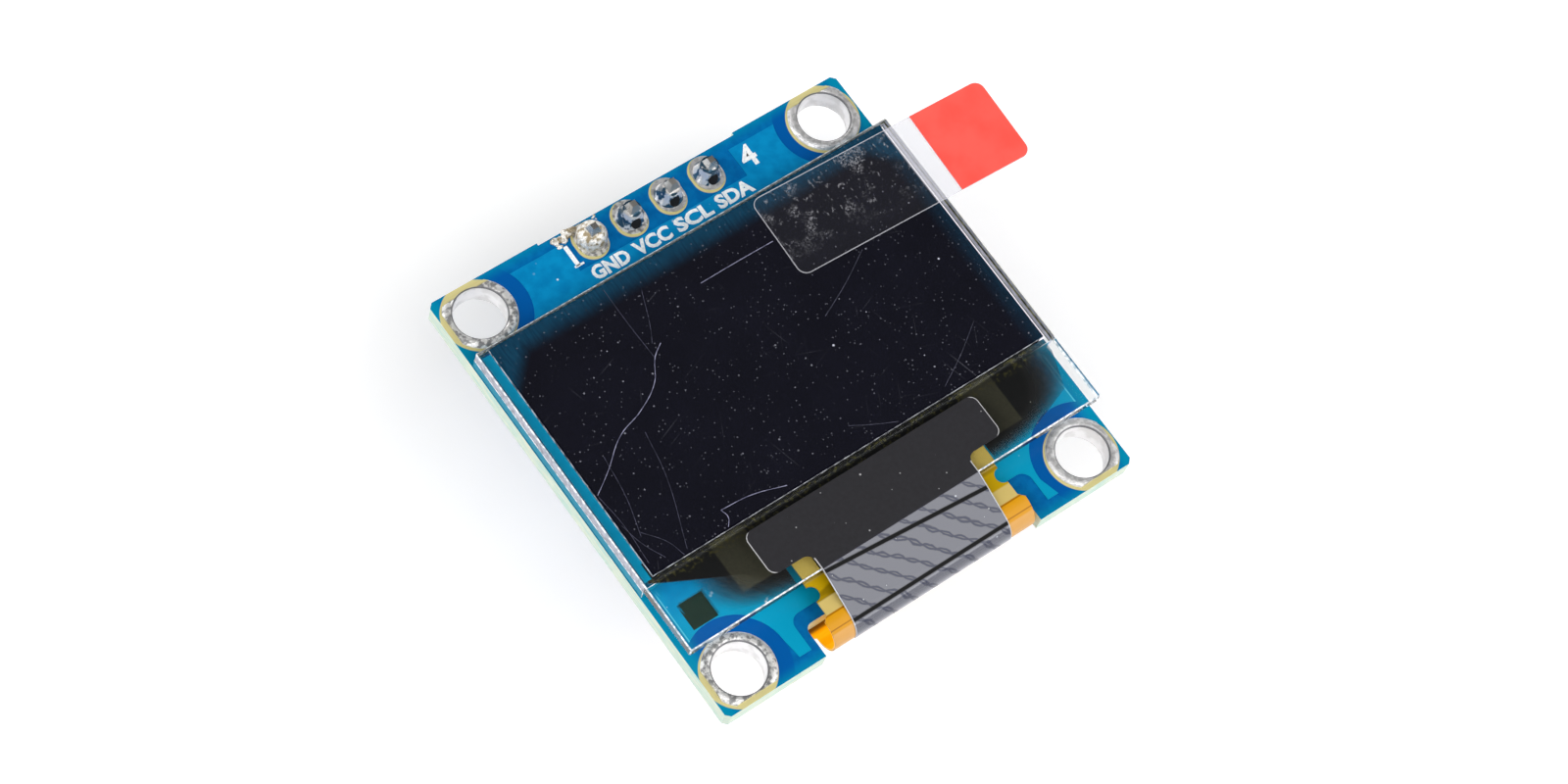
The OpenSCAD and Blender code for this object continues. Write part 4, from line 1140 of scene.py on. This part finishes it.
nylon = toned_finish("black_nylon", (26, 26, 29), (44, 44, 48), 0.5, 0.02, Roughness=0.5)
nylon.dress("header_housing")
pin_tin = metal_finish("pin_tin", (0.6, 0.585, 0.56), (0.46, 0.44, 0.41), 1.4, 0.003, 0.22, 0.9)
pin_tin.dress(*numbered("header_pin", 1, 4))

# Joints 2 to 4 are smooth cones. In front of the pin a round spot is painted black, as the
# painted shade of a hollow, and their dark blue patches are painted reflections of the blue board.
hollow_r, hollow_place = 0.36, (-0.06, header_y - 0.72, 0.4)
joint = Finish("smooth_solder", 0.6, 0.012, Metallic=0.6)
beside = joint.calc("FLOORED_MODULO", joint.x, pin_pitch) - pin_pitch / 2
from_pin = joint.node("CombineXYZ", {"X": beside, "Y": joint.y, "Z": joint.z})
# Painted shade: a black spot in front of the pin.
hollow = from_pin.distance(hollow_place).below(hollow_r, 0.04)
# Painted reflections: dark blue patches among the bright solder.
colour = joint.tone.ramp(0.46, 0.53).mix((0.95, 0.94, 0.94, 1), (0.04, 0.11, 0.18, 1))
joint.feed("Base Color", hollow.mix(colour, (0.012, 0.012, 0.014, 1)))
joint.feed("Roughness", hollow * 0.5 + 0.2)
joint.dress(*numbered("header_joint", 2, 4))

creamy = metal_finish("creamy_solder", (0.95, 0.92, 0.86), (0.34, 0.27, 0.16), 0.24, 0.05, 0.2, 0.5)
creamy.dress("header_joint_1")

drop_seed, drops, stray_every, stray_size = 4, 44, 5, 0.06
spatter_from, spatter_to, spatter_end = Vector((-4.1, 13.05)), Vector((-5.6, 12.98)), 13.28
chance = random.Random(drop_seed)
noise.seed_set(drop_seed)
bm = bmesh.new()
for index in range(drops):
    if index % stray_every == 0:
        x, y = chance.uniform(-4.2, -2.7), chance.uniform(13.0, 13.3)
        size = stray_size
    else:
        x, y = spatter_from.lerp(spatter_to, chance.random())
        y += chance.gauss(0, 0.12)
        size = chance.uniform(0.07, 0.2)
    place = Matrix.Translation((x, min(y, spatter_end), size * 0.25))
    shape = place @ Matrix.Diagonal((size * chance.uniform(0.8, 1.6), size, size * 0.6, 1))
    bmesh.ops.create_icosphere(bm, subdivisions=2, radius=1, matrix=shape)
for vert in bm.verts:
    vert.co += noise.noise_vector(vert.co * 6) * 0.03
add_piece("solder_spatter", bm, creamy, 60)


# Studio: a white floor under the pins that curves up far away, four soft lamps round the part, and
# the camera. The floor is lifted to white for the camera and in reflections, more so far from the
# part, and keeps the soft shadow. It shows only from above. From below the white world shows.

floor_drop, floor_r = 0.00005, 1.5
floor_steps = ((0.2, 0.02), (0.15, 0.1), (0.05, 0.2), (0.0, 0.3))
bm = bmesh.new()
bmesh.ops.create_circle(bm, cap_ends=True, segments=64, radius=floor_r)
for out, up in floor_steps:
    rim = [edge for edge in bm.edges if edge.is_boundary]
    made = bmesh.ops.extrude_edge_only(bm, edges=rim)["geom"]
    rim_verts = [part for part in made if isinstance(part, bmesh.types.BMVert)]
    grow = 1 + out / floor_r
    bmesh.ops.scale(bm, vec=(grow, grow, 1), verts=rim_verts)
    bmesh.ops.translate(bm, vec=(0, 0, up), verts=rim_verts)
bmesh.ops.recalc_face_normals(bm, faces=bm.faces)
if bm.faces[:][0].normal.z < 0:
    bmesh.ops.reverse_faces(bm, faces=bm.faces)
floor = new_object("floor", new_mesh("floor", bm))
floor.location.z = cad_low.z - floor_drop

near_lift, far_lift, lift_start, lift_end = 0.25, 1.0, 150, 600
white = Finish("white_floor", Base_Color=(0.88, 0.88, 0.88, 1), Roughness=0.9, Specular_IOR_Level=0.1)
rays = white.node("LightPath")
seen = rays["Is Camera Ray"] | rays["Is Glossy Ray"] | rays["Is Transmission Ray"]
far = white.place.distance((0, 0, 0)).ramp(lift_start, lift_end)
lift = far * (far_lift - near_lift) + near_lift
glow = white.node("Emission", {"Color": (1, 1, 1, 1), "Strength": seen * lift})
white.show("MixShader", {
    0: white.node("NewGeometry")["Backfacing"],
    1: white.node("AddShader", {0: white.surface, 1: glow}),
    2: white.node("BsdfTransparent"),
})
floor.data.materials.append(white.material)

lamp_plan = {
    "front_lamp": ((0.37, -0.66, 0.65), 0.45, 0.56, 2.3),
    "camera_lamp": ((-0.5, -0.3, 0.8), 0.5, 0.3, 0.8),
    "left_lamp": ((-0.8, 0.35, 0.5), 0.5, 0.34, 1.3),
    "rear_lamp": ((0.2, 0.9, 0.35), 0.55, 0.3, 0.8),
}
for name, (direction, distance, size, power) in lamp_plan.items():
    lamp = bpy.data.lights.new(name, "AREA")
    lamp.size = size
    lamp.energy = power
    light = new_object(name, lamp)
    aim = Vector(direction).normalized()
    light.location = aim * distance
    light.rotation_mode = "QUATERNION"
    light.rotation_quaternion = (-aim).to_track_quat("-Z", "Y")

# The world is a dim white light that the camera sees as full white.
dim = 0.07
world = bpy.data.worlds.new("studio")
world.use_nodes = True
sky = Nodes(world.node_tree)
backdrop = world.node_tree.nodes["Background"].inputs
sky.fill(backdrop["Color"], (1, 1, 1, 1))
sky.fill(backdrop["Strength"], sky.node("LightPath")["Is Camera Ray"] * (1 - dim) + dim)
bpy.context.scene.world = world
bpy.context.scene.view_settings.view_transform = "Standard"

view_azimuth, view_elevation, view_roll = [math.radians(turn) for turn in (-55.7, 63.6, -21.7)]
view_aim, view_distance, view_lens = Vector((-0.22, -0.415, 0)) * MM, 0.2003, 88
back = Vector((
    math.sin(view_azimuth) * math.cos(view_elevation),
    -math.cos(view_azimuth) * math.cos(view_elevation),
    math.sin(view_elevation),
))
camera = bpy.data.cameras.new("camera")
camera.lens = view_lens
camera.clip_start, camera.clip_end = 0.005, 20
viewer = new_object("camera", camera)
viewer.location = view_aim + back * view_distance
viewer.rotation_mode = "QUATERNION"
level = (-back).to_track_quat("-Z", "Y")
viewer.rotation_quaternion = level @ Matrix.Rotation(-view_roll, 3, "Z").to_quaternion()
bpy.context.scene.camera = viewer
